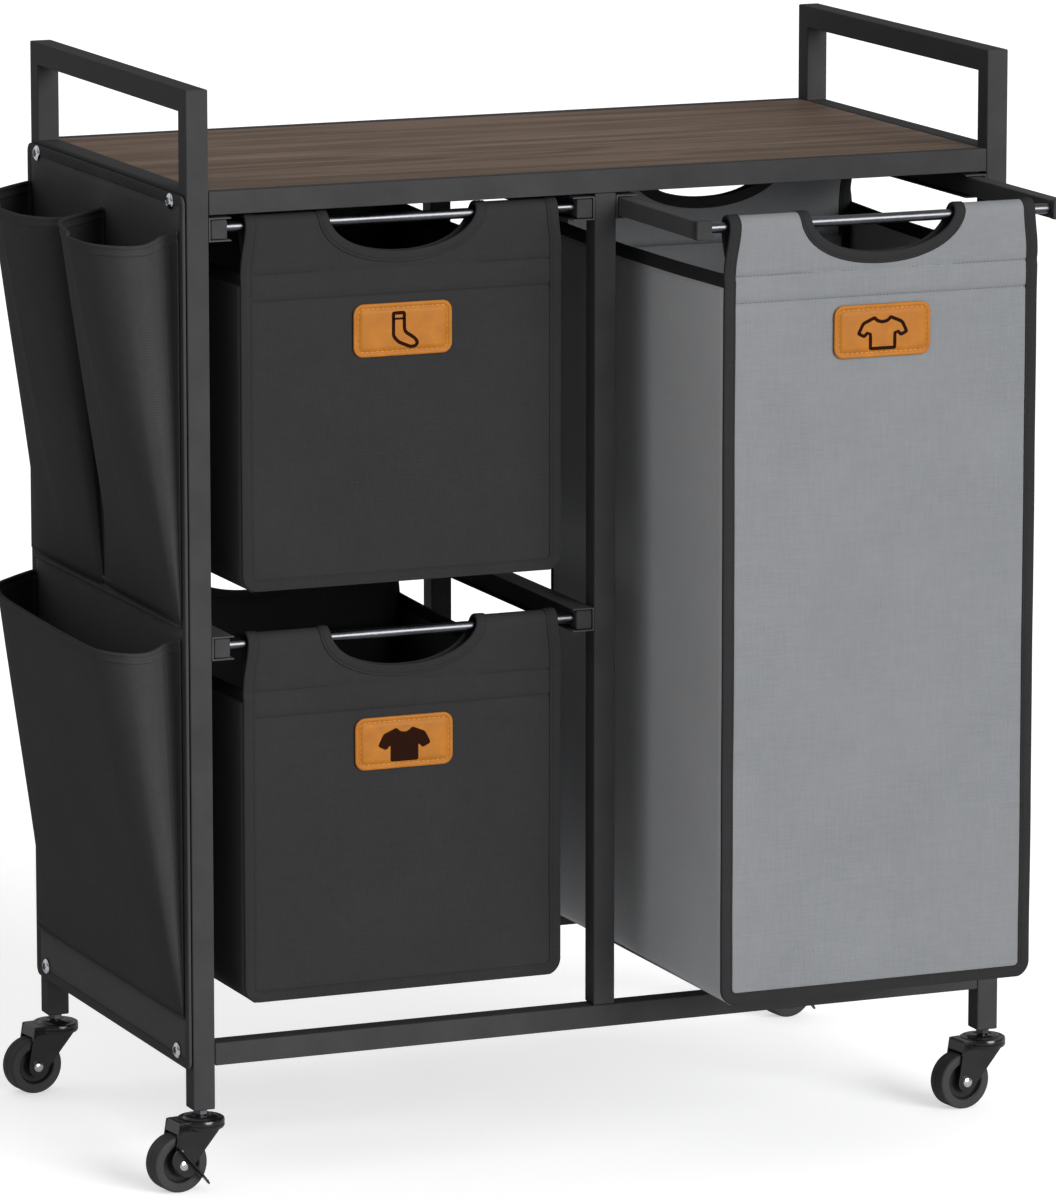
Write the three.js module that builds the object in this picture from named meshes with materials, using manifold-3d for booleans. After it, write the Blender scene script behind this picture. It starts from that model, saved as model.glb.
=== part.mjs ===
// Laundry sorter on four casters: a welded and bolted steel frame with a wooden shelf, three fabric bags
// that slide out like drawers, and a fabric organiser with three pockets on the left side.
// Millimetres. +Z is up, +Y points to the back, and the bags slide out towards -Y.
// The origin is on the floor, at the middle of the whole object's footprint.
import * as THREE from 'three';
import { mergeVertices } from 'three/addons/utils/BufferGeometryUtils.js';
import Module from 'manifold-3d';

const wasm = await Module();
wasm.setup();

// Clearance between pieces that touch.
const GAP = 0.3;

// Steel frame, of square tube.
const FRAME_WIDTH = 771;
const FRAME_DEPTH = 397;
const TUBE = 20;
const TUBE_WALL = 1.5;
const TOTAL_HEIGHT = 956;
const SHELF_RAIL_TOP = 869;
const LOW_RAIL_TOP = 129;
const POST_FOOT = 70.5;
const FOOT_PLATE = 4;
const SHELF_RAIL_LIP = 11;

// Wooden shelf, let in between the four top rails.
const BOARD_THICKNESS = 15;
const BOARD_RECESS = 0.5;

// Channels that the bags slide in.
const CHANNEL_SIZE = 20;
const CHANNEL_HEIGHT = 20.4;
const CHANNEL_SHEET = 1.2;
const UPPER_CHANNEL_TOP = 846.4;
const LEVEL_STEP = 361;

// Sliding carriage of a bag: two bars in the channels and two rods between them.
const BAR_WIDTH = 14;
const BAR_HEIGHT = 16;
const BAR_LENGTH = 390;
const BAR_WALL = 1.2;
const BAR_CAP = 3;
const BAR_RUN_GAP = 1;
const ROD_RADIUS = 4.5;
const ROD_INSET = 11;
const ROD_ENTRY = 9;
const ROD_ABOVE_BAR_MIDDLE = 0.5;

// Fabric bags, which hang on the rods by two sleeves.
const BAG_WIDTH = 296;
const BAG_FRONT_INSET = 4.7;
const BAG_BACK_INSET = 9;
const SMALL_BAG_HEIGHT = 326;
const FABRIC = 2.5;
const SLEEVE_RADIUS = 9.5;
const SLEEVE_BORE = 5.2;
const SIDE_WALL_DROP = 50;
const GRIP_HALF_WIDTH = 69;
const GRIP_DEPTH = 37.3;
const GRIP_ROUNDNESS = 2.1;
const TALL_BAG_PULLED_OUT = 166;

// Label patches.
const LABEL_WIDTH = 91;
const LABEL_HEIGHT = 46;
const LABEL_CORNER = 9;
const LABEL_THICKNESS = 2;
const LABEL_DROP = 105;

// Organiser on the left side.
const PANEL_THICKNESS = 3;
const PANEL_STANDOFF = 0.9;
const PANEL_TOP = 866;
const PANEL_BOTTOM = 106;
const PANEL_CORNER = 8;
const POCKET_FABRIC = 2.5;
const POCKET_HEM = 3;
const UPPER_POCKET_RIM = 831;
const UPPER_POCKET_SEAM = 500;
const LOWER_POCKET_RIM = 480;
const LOWER_POCKET_SEAM = 155;
const UPPER_BACK_POCKET_OUT = 71;
const UPPER_FRONT_POCKET_OUT = 76;
const LOWER_POCKET_OUT = 70;
const SCREW_RADIUS = 2.4;
const SCREW_LENGTH = 14;
const SCREW_HEAD_RADIUS = 7;
const SCREW_HEAD_HEIGHT = 3;
const SCREW_SETBACK = 28.5;

// Casters.
const WHEEL_RADIUS = 25.4;
const WHEEL_WIDTH = 20;
const WHEEL_BORE = 3.3;
const WHEEL_HUB_RADIUS = 16.5;
const WHEEL_WEB_HALF = 5;
const TREAD_EDGE = 2.5;
const AXLE_RADIUS = 3;
const AXLE_HEAD_RADIUS = 4.6;
const AXLE_HEAD_CROWN = 3.8;
const AXLE_HEAD_HEIGHT = 1.6;
const TRAIL = 24;
const CASTER_HEADING = THREE.MathUtils.degToRad(187);
const LEG_THICKNESS = 2;
const LEG_RADIUS = 9;
const LEG_FRONT = -14;
const LEG_CURVE_END = THREE.MathUtils.degToRad(-138);
const WHEEL_SIDE_GAP = 1.2;
const CUP_RADIUS = 20.8;
const CUP_CROWN_RADIUS = 14;
const CUP_ROUNDING = 1.5;
const CUP_TOP = 64.8;
const CUP_RIM = 63;
const CUP_BOTTOM = 54;
const SHOULDER_PAST_AXLE = 3.2;
const SHOULDER_START = 8;
const SHOULDER_TOP = 62.4;
const SHOULDER_PLATE = 4;
const SHOULDER_FOOT = 53;
const STEM_RADIUS = 4;
const STEM_BORE = 4.4;
const STEM_TOP = 92;
const STEM_FLANGE_RADIUS = 7;
const STEM_FLANGE_HEIGHT = 2.5;
const NUT_RADIUS = 6.4;
const LEVER_SHEET = 1.6;
const LEVER_SLOPE = THREE.MathUtils.degToRad(230);
const LEVER_TAIL = -19;
const LEVER_CORNER = 4;
const CHEEK = { tail: -15, nose: 13, low: -7, high: 8, corner: 6 };
const PEDAL_WIDTH = 8;
const PEDAL_REACH = 30;
const PEDAL_TAPER = { start: 8, bend: 20 };

// Driven places.
const HALF_WIDTH = FRAME_WIDTH / 2;
const HALF_DEPTH = FRAME_DEPTH / 2;
const POST_X = HALF_WIDTH - TUBE / 2;
const POST_Y = HALF_DEPTH - TUBE / 2;
const INNER_X = HALF_WIDTH - TUBE;
const INNER_Y = HALF_DEPTH - TUBE;
const PANEL_FACE = -HALF_WIDTH - PANEL_STANDOFF - PANEL_THICKNESS;
const BAY_CENTRE = (INNER_X + TUBE / 2) / 2;
const BAY_HALF_WIDTH = (INNER_X - TUBE / 2) / 2;
const LEG_INNER = WHEEL_WIDTH / 2 + WHEEL_SIDE_GAP;
const LEG_OUTER = LEG_INNER + LEG_THICKNESS;

// Finishes.
const blackSteel = { color: 0x3b3b3b, roughness: 0.5, metalness: 0.5 };
const darkSteel = { color: 0x303030, roughness: 0.45, metalness: 0.5 };
const brightSteel = { color: 0xb8b8b8, roughness: 0.25, metalness: 1 };
const walnutBoard = { color: 0x6a5a50, roughness: 0.6, metalness: 0 };
const blackFabric = { color: 0x383838, roughness: 0.95, metalness: 0 };
const greyFabric = { color: 0x939597, roughness: 0.95, metalness: 0 };
const tanLeather = { color: 0xbe7a2c, roughness: 0.6, metalness: 0 };
const blackPlastic = { color: 0x262626, roughness: 0.3, metalness: 0 };
const greyRubber = { color: 0x404040, roughness: 0.7, metalness: 0 };

// A closed geometry as a solid that can be joined and cut.
function solidOf(geometry) {
  const bare = geometry.clone();
  bare.deleteAttribute('normal');
  bare.deleteAttribute('uv');
  const merged = mergeVertices(bare, 1e-4);
  return new wasm.Manifold(new wasm.Mesh({
    numProp: 3,
    vertProperties: new Float32Array(merged.attributes.position.array),
    triVerts: new Uint32Array(merged.index.array),
  }));
}

function geometryOf(solid) {
  const mesh = solid.getMesh();
  const geometry = new THREE.BufferGeometry();
  geometry.setAttribute('position', new THREE.BufferAttribute(mesh.vertProperties, 3));
  geometry.setIndex(new THREE.BufferAttribute(mesh.triVerts, 1));
  geometry.computeVertexNormals();
  return geometry;
}

function join(...geometries) {
  return geometryOf(geometries.map(solidOf).reduce((a, b) => a.add(b)));
}

function cut(geometry, ...tools) {
  return geometryOf(tools.map(solidOf).reduce((a, b) => a.subtract(b), solidOf(geometry)));
}

// A block between two corners.
function block(x0, x1, y0, y1, z0, z1) {
  const geometry = new THREE.BoxGeometry(x1 - x0, y1 - y0, z1 - z0);
  geometry.translate((x0 + x1) / 2, (y0 + y1) / 2, (z0 + z1) / 2);
  return geometry;
}

// A solid of revolution about Z; the profile lists [radius, height] points anticlockwise.
function revolve(profile, segments = 32) {
  const geometry = new THREE.LatheGeometry(profile.map(([r, z]) => new THREE.Vector2(r, z)), segments);
  geometry.rotateX(Math.PI / 2);
  return geometry;
}

function rodAlongX(radius, x0, x1, y, z, segments = 12) {
  const geometry = new THREE.CylinderGeometry(radius, radius, x1 - x0, segments);
  geometry.rotateZ(Math.PI / 2);
  geometry.translate((x0 + x1) / 2, y, z);
  return geometry;
}

function rodAlongZ(radius, x, y, z0, z1, segments = 12) {
  const geometry = new THREE.CylinderGeometry(radius, radius, z1 - z0, segments);
  geometry.rotateX(Math.PI / 2);
  geometry.translate(x, y, (z0 + z1) / 2);
  return geometry;
}

// An outline drawn in (across, up), pushed along +Y from y0 to y1; across becomes X and up becomes Z.
function extrudeAlongY(shape, y0, y1, curveSegments = 8) {
  const geometry = new THREE.ExtrudeGeometry(shape, { depth: y1 - y0, bevelEnabled: false, curveSegments });
  geometry.rotateX(Math.PI / 2);
  geometry.translate(0, y1, 0);
  return geometry;
}

// An outline drawn in (across, up), pushed along +X from x0 to x1; across becomes Y and up becomes Z.
function extrudeAlongX(shape, x0, x1, curveSegments = 8) {
  const geometry = new THREE.ExtrudeGeometry(shape, { depth: x1 - x0, bevelEnabled: false, curveSegments });
  geometry.rotateX(Math.PI / 2);
  geometry.rotateZ(Math.PI / 2);
  geometry.translate(x0, 0, 0);
  return geometry;
}

// A shape with straight edges, always listed anticlockwise so that its holes are found.
function polygon(points) {
  const corners = points.map(([across, up]) => new THREE.Vector2(across, up));
  return new THREE.Shape(THREE.ShapeUtils.isClockWise(corners) ? corners.reverse() : corners);
}

function roundedRectangle(x0, x1, y0, y1, radius) {
  const shape = new THREE.Shape();
  shape.moveTo(x0 + radius, y0);
  shape.lineTo(x1 - radius, y0);
  shape.absarc(x1 - radius, y0 + radius, radius, -Math.PI / 2, 0, false);
  shape.lineTo(x1, y1 - radius);
  shape.absarc(x1 - radius, y1 - radius, radius, 0, Math.PI / 2, false);
  shape.lineTo(x0 + radius, y1);
  shape.absarc(x0 + radius, y1 - radius, radius, Math.PI / 2, Math.PI, false);
  shape.lineTo(x0, y0 + radius);
  shape.absarc(x0 + radius, y0 + radius, radius, Math.PI, Math.PI * 1.5, false);
  return shape;
}

function addPart(parent, name, geometry, finish) {
  const mesh = new THREE.Mesh(geometry, new THREE.MeshStandardMaterial(finish));
  mesh.name = name;
  parent.add(mesh);
  return mesh;
}

// ---- Frame ----

// Two posts joined by a handle across the top and two side rails, welded into one hollow frame. A plate with
// a hole closes each foot. The frame lies about X = 0.
function endFrame() {
  const half = TUBE / 2;
  const bore = half - TUBE_WALL;
  const boreY = POST_Y + bore;
  const windowTop = TOTAL_HEIGHT - TUBE;
  const footTop = POST_FOOT + FOOT_PLATE;
  const bars = [];
  const bores = [];
  for (const side of [-1, 1]) {
    const y = side * POST_Y;
    bars.push(block(-half, half, y - half, y + half, POST_FOOT, TOTAL_HEIGHT));
    bores.push(block(-bore, bore, y - bore, y + bore, footTop, TOTAL_HEIGHT - TUBE_WALL));
    bores.push(rodAlongZ(STEM_BORE, 0, y, POST_FOOT - 1, footTop + 1));
  }
  for (const bottom of [windowTop, SHELF_RAIL_TOP - TUBE, LOW_RAIL_TOP - TUBE]) {
    bars.push(block(-half, half, -POST_Y, POST_Y, bottom, bottom + TUBE));
    bores.push(block(-bore, bore, -boreY, boreY, bottom + TUBE_WALL, bottom + TUBE - TUBE_WALL));
  }
  return cut(join(...bars), join(...bores));
}

// Middles of the organiser's screws, as [y, z].
const screwPlaces = [];
for (const z of [SHELF_RAIL_TOP - TUBE / 2, LOW_RAIL_TOP - TUBE / 2]) {
  for (const side of [-1, 1]) {
    screwPlaces.push([side * (HALF_DEPTH - SCREW_SETBACK), z]);
  }
}

function leftEndFrame() {
  const wall = [-TUBE / 2 - 1, -TUBE / 2 + TUBE_WALL + 1];
  const holes = screwPlaces.map(([y, z]) => rodAlongX(SCREW_RADIUS + GAP, wall[0], wall[1], y, z));
  return cut(endFrame(), ...holes);
}

// A top rail: a narrow tube whose inner side carries a flange for the board. Drawn for the front, in
// (depth from the front face, height).
function shelfRail(side) {
  const flangeTop = SHELF_RAIL_TOP - BOARD_RECESS - BOARD_THICKNESS - GAP;
  const low = SHELF_RAIL_TOP - TUBE;
  const outline = [
    [0, low], [SHELF_RAIL_LIP, low], [SHELF_RAIL_LIP, flangeTop - TUBE_WALL], [TUBE, flangeTop - TUBE_WALL],
    [TUBE, flangeTop], [SHELF_RAIL_LIP, flangeTop], [SHELF_RAIL_LIP, SHELF_RAIL_TOP], [0, SHELF_RAIL_TOP],
  ];
  const place = ([depth, up]) => [side * (HALF_DEPTH - depth), up];
  const shape = polygon(outline.map(place));
  const bore = [
    [TUBE_WALL, low + TUBE_WALL], [SHELF_RAIL_LIP - TUBE_WALL, low + TUBE_WALL],
    [SHELF_RAIL_LIP - TUBE_WALL, SHELF_RAIL_TOP - TUBE_WALL], [TUBE_WALL, SHELF_RAIL_TOP - TUBE_WALL],
  ];
  shape.holes.push(polygon(bore.map(place)));
  return extrudeAlongX(shape, -INNER_X + GAP, INNER_X - GAP);
}

// The section of a square tube, with its middle at (across, up).
function tubeSection(across, up) {
  const square = (half) => polygon([
    [across - half, up - half], [across + half, up - half],
    [across + half, up + half], [across - half, up + half],
  ]);
  const shape = square(TUBE / 2);
  shape.holes.push(square(TUBE / 2 - TUBE_WALL));
  return shape;
}

function lowRail(side) {
  return extrudeAlongX(tubeSection(side * POST_Y, LOW_RAIL_TOP - TUBE / 2), -INNER_X + GAP, INNER_X - GAP);
}

function middlePost(side) {
  const geometry = new THREE.ExtrudeGeometry(tubeSection(0, side * POST_Y), {
    depth: SHELF_RAIL_TOP - TUBE - LOW_RAIL_TOP - 2 * GAP,
    bevelEnabled: false,
  });
  geometry.translate(0, 0, LOW_RAIL_TOP + GAP);
  return geometry;
}

function shelfBoard() {
  const x = INNER_X - GAP;
  const y = HALF_DEPTH - SHELF_RAIL_LIP - GAP;
  const top = SHELF_RAIL_TOP - BOARD_RECESS;
  return block(-x, x, -y, y, top - BOARD_THICKNESS, top);
}

// A channel whose web stands at x = web and whose open side faces `facing` (+1 or -1 along X).
function channel(web, facing, top) {
  const bottom = top - CHANNEL_HEIGHT;
  const far = CHANNEL_SIZE;
  const outline = [
    [0, bottom], [far, bottom], [far, bottom + CHANNEL_SHEET], [CHANNEL_SHEET, bottom + CHANNEL_SHEET],
    [CHANNEL_SHEET, top - CHANNEL_SHEET], [far, top - CHANNEL_SHEET], [far, top], [0, top],
  ];
  const shape = polygon(outline.map(([out, up]) => [web + facing * out, up]));
  return extrudeAlongY(shape, -HALF_DEPTH, HALF_DEPTH);
}

function buildFrame(parent) {
  const left = addPart(parent, 'left_end_frame', leftEndFrame(), blackSteel);
  left.position.x = -POST_X;
  const right = addPart(parent, 'right_end_frame', endFrame(), blackSteel);
  right.position.x = POST_X;
  for (const [name, side] of [['front', -1], ['back', 1]]) {
    addPart(parent, `${name}_top_rail`, shelfRail(side), blackSteel);
    addPart(parent, `${name}_bottom_rail`, lowRail(side), blackSteel);
    addPart(parent, `${name}_middle_post`, middlePost(side), blackSteel);
  }
  addPart(parent, 'shelf_board', shelfBoard(), walnutBoard);
}

// ---- Bags ----

// One bar of a carriage, about its own middle, with its front face at y = 0. The rods enter the side that
// faces `facing`.
function slideBar(facing) {
  const halfWidth = BAR_WIDTH / 2;
  const halfHeight = BAR_HEIGHT / 2;
  const boreX = halfWidth - BAR_WALL;
  const boreZ = halfHeight - BAR_WALL;
  const tools = [block(-boreX, boreX, BAR_CAP, BAR_LENGTH - BAR_CAP, -boreZ, boreZ)];
  for (const y of [ROD_INSET, BAR_LENGTH - ROD_INSET]) {
    const ends = [0, facing * (halfWidth + 1)].sort((a, b) => a - b);
    tools.push(rodAlongX(ROD_RADIUS + GAP, ends[0], ends[1], y, ROD_ABOVE_BAR_MIDDLE));
  }
  return cut(block(-halfWidth, halfWidth, 0, BAR_LENGTH, -halfHeight, halfHeight), ...tools);
}

// The hand grip that is cut out of the top of a panel, with its middle at the top edge.
function gripShape() {
  const points = [];
  const steps = 12;
  for (let i = 0; i <= steps; i += 1) {
    const angle = Math.PI * (1 + i / steps);
    const power = 2 / GRIP_ROUNDNESS;
    const across = Math.sign(Math.cos(angle)) * Math.abs(Math.cos(angle)) ** power * GRIP_HALF_WIDTH;
    const up = -(Math.abs(Math.sin(angle)) ** power) * GRIP_DEPTH;
    points.push([across, up]);
  }
  points.push([GRIP_HALF_WIDTH, SLEEVE_RADIUS], [-GRIP_HALF_WIDTH, SLEEVE_RADIUS]);
  return polygon(points);
}

// An open-topped bag. Its sleeves' top is at z = 0 and the carriage's front face at y = 0.
function bag(height) {
  const half = BAG_WIDTH / 2;
  const front = BAG_FRONT_INSET;
  const back = BAR_LENGTH - BAG_BACK_INSET;
  const rodZ = -SLEEVE_RADIUS;
  const rodYs = [ROD_INSET, BAR_LENGTH - ROD_INSET];
  const shell = cut(
    block(-half, half, front, back, -height, rodZ),
    block(-half + FABRIC, half - FABRIC, front + FABRIC, back - FABRIC, -height + FABRIC, 1),
    block(-half - 1, half + 1, 2 * ROD_INSET, BAR_LENGTH - 2 * ROD_INSET, -SIDE_WALL_DROP, 1),
    block(-half - 1, -half + FABRIC, front - 1, back + 1, -SIDE_WALL_DROP, 1),
    block(half - FABRIC, half + 1, front - 1, back + 1, -SIDE_WALL_DROP, 1),
  );
  const bodyHalf = half - FABRIC;
  const sleeves = rodYs.map((y) => rodAlongX(SLEEVE_RADIUS, -bodyHalf, bodyHalf, y, rodZ, 14));
  const bores = rodYs.map((y) => rodAlongX(SLEEVE_BORE, -half, half, y, rodZ));
  const grip = extrudeAlongY(gripShape(), 0, BAR_LENGTH);
  return cut(join(shell, ...sleeves), ...bores, grip);
}

function labelPatch() {
  const halfWidth = LABEL_WIDTH / 2;
  const halfHeight = LABEL_HEIGHT / 2;
  const shape = roundedRectangle(-halfWidth, halfWidth, -halfHeight, halfHeight, LABEL_CORNER);
  return extrudeAlongY(shape, -LABEL_THICKNESS, 0, 4);
}

// A bag with its carriage, and the two channels that it slides in.
function buildBag(parent, { name, centre, channelTop, height, fabric, pulledOut }) {
  for (const [side, way] of [['left', -1], ['right', 1]]) {
    const web = centre + way * (BAY_HALF_WIDTH - GAP);
    addPart(parent, `${name}_${side}_channel`, channel(web, -way, channelTop), darkSteel);
  }

  const carriage = new THREE.Group();
  carriage.position.set(centre, -HALF_DEPTH - pulledOut, channelTop);
  parent.add(carriage);
  const barX = BAY_HALF_WIDTH - GAP - CHANNEL_SHEET - BAR_RUN_GAP - BAR_WIDTH / 2;
  const barZ = -CHANNEL_HEIGHT / 2;
  const rodZ = barZ + ROD_ABOVE_BAR_MIDDLE;
  for (const [side, way] of [['left', -1], ['right', 1]]) {
    const bar = addPart(carriage, `${name}_${side}_bar`, slideBar(-way), darkSteel);
    bar.position.set(way * barX, 0, barZ);
  }
  const rodHalf = barX - BAR_WIDTH / 2 + ROD_ENTRY;
  for (const [side, y] of [['front', ROD_INSET], ['back', BAR_LENGTH - ROD_INSET]]) {
    addPart(carriage, `${name}_${side}_rod`, rodAlongX(ROD_RADIUS, -rodHalf, rodHalf, y, rodZ), brightSteel);
  }
  const sleeveTop = rodZ + SLEEVE_RADIUS;
  addPart(carriage, `${name}_bag`, bag(height), fabric).position.z = sleeveTop;
  const label = addPart(carriage, `${name}_label`, labelPatch(), tanLeather);
  label.position.set(0, BAG_FRONT_INSET - GAP, sleeveTop - LABEL_DROP);
}

// ---- Organiser ----

function organiserPanel() {
  const shape = roundedRectangle(-HALF_DEPTH, HALF_DEPTH, PANEL_BOTTOM, PANEL_TOP, PANEL_CORNER);
  const panel = extrudeAlongX(shape, PANEL_FACE, PANEL_FACE + PANEL_THICKNESS, 4);
  const holes = screwPlaces.map(([y, z]) => rodAlongX(
    SCREW_RADIUS + GAP, PANEL_FACE - 1, PANEL_FACE + PANEL_THICKNESS + 1, y, z,
  ));
  return cut(panel, ...holes);
}

// The rim of a pocket, as [distance out, y] points from the back seam round to the front seam. It leans out
// at the back, comes round square to the panel at the front, and ends in a small fold. `out` is its greatest
// reach, which the curve through these points has midway along its long outer run.
function pocketRim(backY, frontY, out) {
  const run = 0.989 * out;
  return [
    [0, backY], [0.4 * out, backY - 20], [0.68 * out, backY - 38], [0.82 * out, backY - 62],
    [0.92 * out, backY - 100], [run, frontY + 60], [0.95 * out, frontY + 24], [0.76 * out, frontY + 3],
    [0.46 * out, frontY + 1], [0.14 * out, frontY + 8], [0, frontY],
  ];
}

// The same rim, drawn one cloth thickness further in, and past the panel so that the pocket opens onto it.
// At the back the rim leans, so it moves by more than the cloth's thickness.
function innerRim(backY, frontY, out) {
  const leaning = 1.4 * POCKET_FABRIC;
  const rim = pocketRim(backY - leaning, frontY + POCKET_FABRIC, out - POCKET_FABRIC);
  const last = rim.length - 1;
  rim[0][0] = -POCKET_FABRIC;
  rim[last][0] = -POCKET_FABRIC;
  return rim;
}

// A closed wedge between two heights. It has its full reach at the pocket's rim and almost none at its seam.
function pocketWedge(rim, foot, pocket, low, high) {
  const curve = new THREE.SplineCurve(rim.map(([out, y]) => new THREE.Vector2(-out, y)));
  const shape = new THREE.Shape(curve.getPoints(28));
  const geometry = new THREE.ExtrudeGeometry(shape, { depth: high - low, bevelEnabled: false });
  geometry.translate(0, 0, low);
  const reach = Math.max(...rim.map(([out]) => out));
  const place = geometry.attributes.position;
  for (let i = 0; i < place.count; i += 1) {
    const lift = (place.getZ(i) - pocket.seam) / (pocket.rim - pocket.seam);
    place.setX(i, place.getX(i) * THREE.MathUtils.lerp(foot / reach, 1, lift));
  }
  return geometry;
}

function pocketShell(pocket) {
  const { seam, rim, backY, frontY, out } = pocket;
  const outer = pocketWedge(pocketRim(backY, frontY, out), 2 * POCKET_FABRIC, pocket, seam, rim);
  const inner = pocketWedge(innerRim(backY, frontY, out), POCKET_FABRIC, pocket, seam + POCKET_HEM, rim + 1);
  return cut(outer, inner);
}

function organiserScrew() {
  const profile = [
    [0, -SCREW_LENGTH], [SCREW_RADIUS, -SCREW_LENGTH], [SCREW_RADIUS, 0], [SCREW_HEAD_RADIUS, 0],
  ];
  const steps = 3;
  for (let i = 1; i <= steps; i += 1) {
    const angle = (Math.PI / 2) * (i / steps);
    profile.push([SCREW_HEAD_RADIUS * Math.cos(angle), SCREW_HEAD_HEIGHT * Math.sin(angle)]);
  }
  profile[profile.length - 1][0] = 0;
  const geometry = revolve(profile, 12);
  geometry.rotateY(-Math.PI / 2);
  return geometry;
}

function buildOrganiser(parent) {
  addPart(parent, 'organiser_panel', organiserPanel(), blackFabric);
  const upper = { seam: UPPER_POCKET_SEAM, rim: UPPER_POCKET_RIM };
  const lower = { seam: LOWER_POCKET_SEAM, rim: LOWER_POCKET_RIM };
  const pockets = {
    upper_back_pocket: { ...upper, backY: 189, frontY: 1, out: UPPER_BACK_POCKET_OUT },
    upper_front_pocket: { ...upper, backY: -3, frontY: -191, out: UPPER_FRONT_POCKET_OUT },
    lower_pocket: { ...lower, backY: 187, frontY: -189, out: LOWER_POCKET_OUT },
  };
  for (const [name, pocket] of Object.entries(pockets)) {
    addPart(parent, name, pocketShell(pocket), blackFabric).position.x = PANEL_FACE - GAP;
  }
  screwPlaces.forEach(([y, z], i) => {
    const screw = addPart(parent, `organiser_screw_${i + 1}`, organiserScrew(), brightSteel);
    screw.position.set(PANEL_FACE - GAP, y, z);
  });
}

// ---- Casters ----
// A caster is drawn about its stem, with +X the way that the wheel trails and +Y along the axle.

function closed(profile) {
  return [...profile, profile[0]];
}

function casterStem() {
  const flangeTop = CUP_BOTTOM - GAP;
  const flangeFoot = flangeTop - STEM_FLANGE_HEIGHT;
  const shaft = revolve([
    [0, flangeFoot], [STEM_FLANGE_RADIUS, flangeFoot], [STEM_FLANGE_RADIUS, flangeTop],
    [STEM_RADIUS, flangeTop], [STEM_RADIUS, STEM_TOP], [0, STEM_TOP],
  ], 12);
  const nut = rodAlongZ(NUT_RADIUS, 0, 0, CUP_TOP + GAP, POST_FOOT - GAP, 6);
  return join(shaft, nut);
}

// The fork: a round cup under the post, a shoulder behind it, and a leg on each side of the wheel.
function casterFork() {
  const cup = revolve(closed([
    [STEM_BORE, CUP_BOTTOM], [CUP_RADIUS - CUP_ROUNDING, CUP_BOTTOM], [CUP_RADIUS, CUP_BOTTOM + CUP_ROUNDING],
    [CUP_RADIUS, CUP_RIM - CUP_ROUNDING], [CUP_RADIUS - CUP_ROUNDING, CUP_RIM], [CUP_CROWN_RADIUS, CUP_TOP],
    [STEM_BORE, CUP_TOP],
  ]), 20);
  const shoulderX = TRAIL + SHOULDER_PAST_AXLE;
  const plateFoot = SHOULDER_TOP - SHOULDER_PLATE;
  const top = block(SHOULDER_START, shoulderX, -LEG_OUTER, LEG_OUTER, plateFoot, SHOULDER_TOP);
  const backX = shoulderX - LEG_THICKNESS;
  const back = block(backX, shoulderX, -LEG_OUTER, LEG_OUTER, SHOULDER_FOOT, SHOULDER_TOP);
  const outline = new THREE.Shape();
  outline.moveTo(LEG_FRONT, CUP_BOTTOM + 1);
  outline.lineTo(LEG_FRONT, SHOULDER_TOP - 1);
  outline.lineTo(shoulderX, SHOULDER_TOP);
  outline.lineTo(TRAIL + LEG_RADIUS, WHEEL_RADIUS);
  outline.absarc(TRAIL, WHEEL_RADIUS, LEG_RADIUS, 0, LEG_CURVE_END, true);
  const legs = [-LEG_OUTER, LEG_INNER].map((y) => extrudeAlongY(outline, y, y + LEG_THICKNESS, 5));
  const axleHole = rodAlongZ(WHEEL_BORE, 0, 0, -LEG_OUTER - 1, LEG_OUTER + 1);
  axleHole.rotateX(Math.PI / 2);
  axleHole.translate(TRAIL, 0, WHEEL_RADIUS);
  const stemBore = rodAlongZ(STEM_BORE, 0, 0, CUP_BOTTOM - 1, CUP_TOP + 1, 20);
  return cut(join(cup, top, back, ...legs), axleHole, stemBore);
}

// A pin with a flat head at each end; `grip` is half the distance between the heads.
function casterAxle(grip) {
  const head = grip + AXLE_HEAD_HEIGHT;
  const geometry = revolve([
    [0, -head], [AXLE_HEAD_CROWN, -head], [AXLE_HEAD_RADIUS, -grip], [AXLE_RADIUS, -grip],
    [AXLE_RADIUS, grip], [AXLE_HEAD_RADIUS, grip], [AXLE_HEAD_CROWN, head], [0, head],
  ], 12);
  geometry.rotateX(Math.PI / 2);
  return geometry;
}

function casterWheel() {
  const half = WHEEL_WIDTH / 2;
  const side = [
    [WHEEL_BORE, WHEEL_WEB_HALF], [WHEEL_HUB_RADIUS, WHEEL_WEB_HALF], [WHEEL_HUB_RADIUS, half],
    [WHEEL_RADIUS - TREAD_EDGE, half], [WHEEL_RADIUS, half - TREAD_EDGE],
  ];
  const mirrored = side.map(([r, z]) => [r, -z]);
  const geometry = revolve(closed([...mirrored, ...side.toReversed()]), 24);
  geometry.rotateX(Math.PI / 2);
  return geometry;
}

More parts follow.
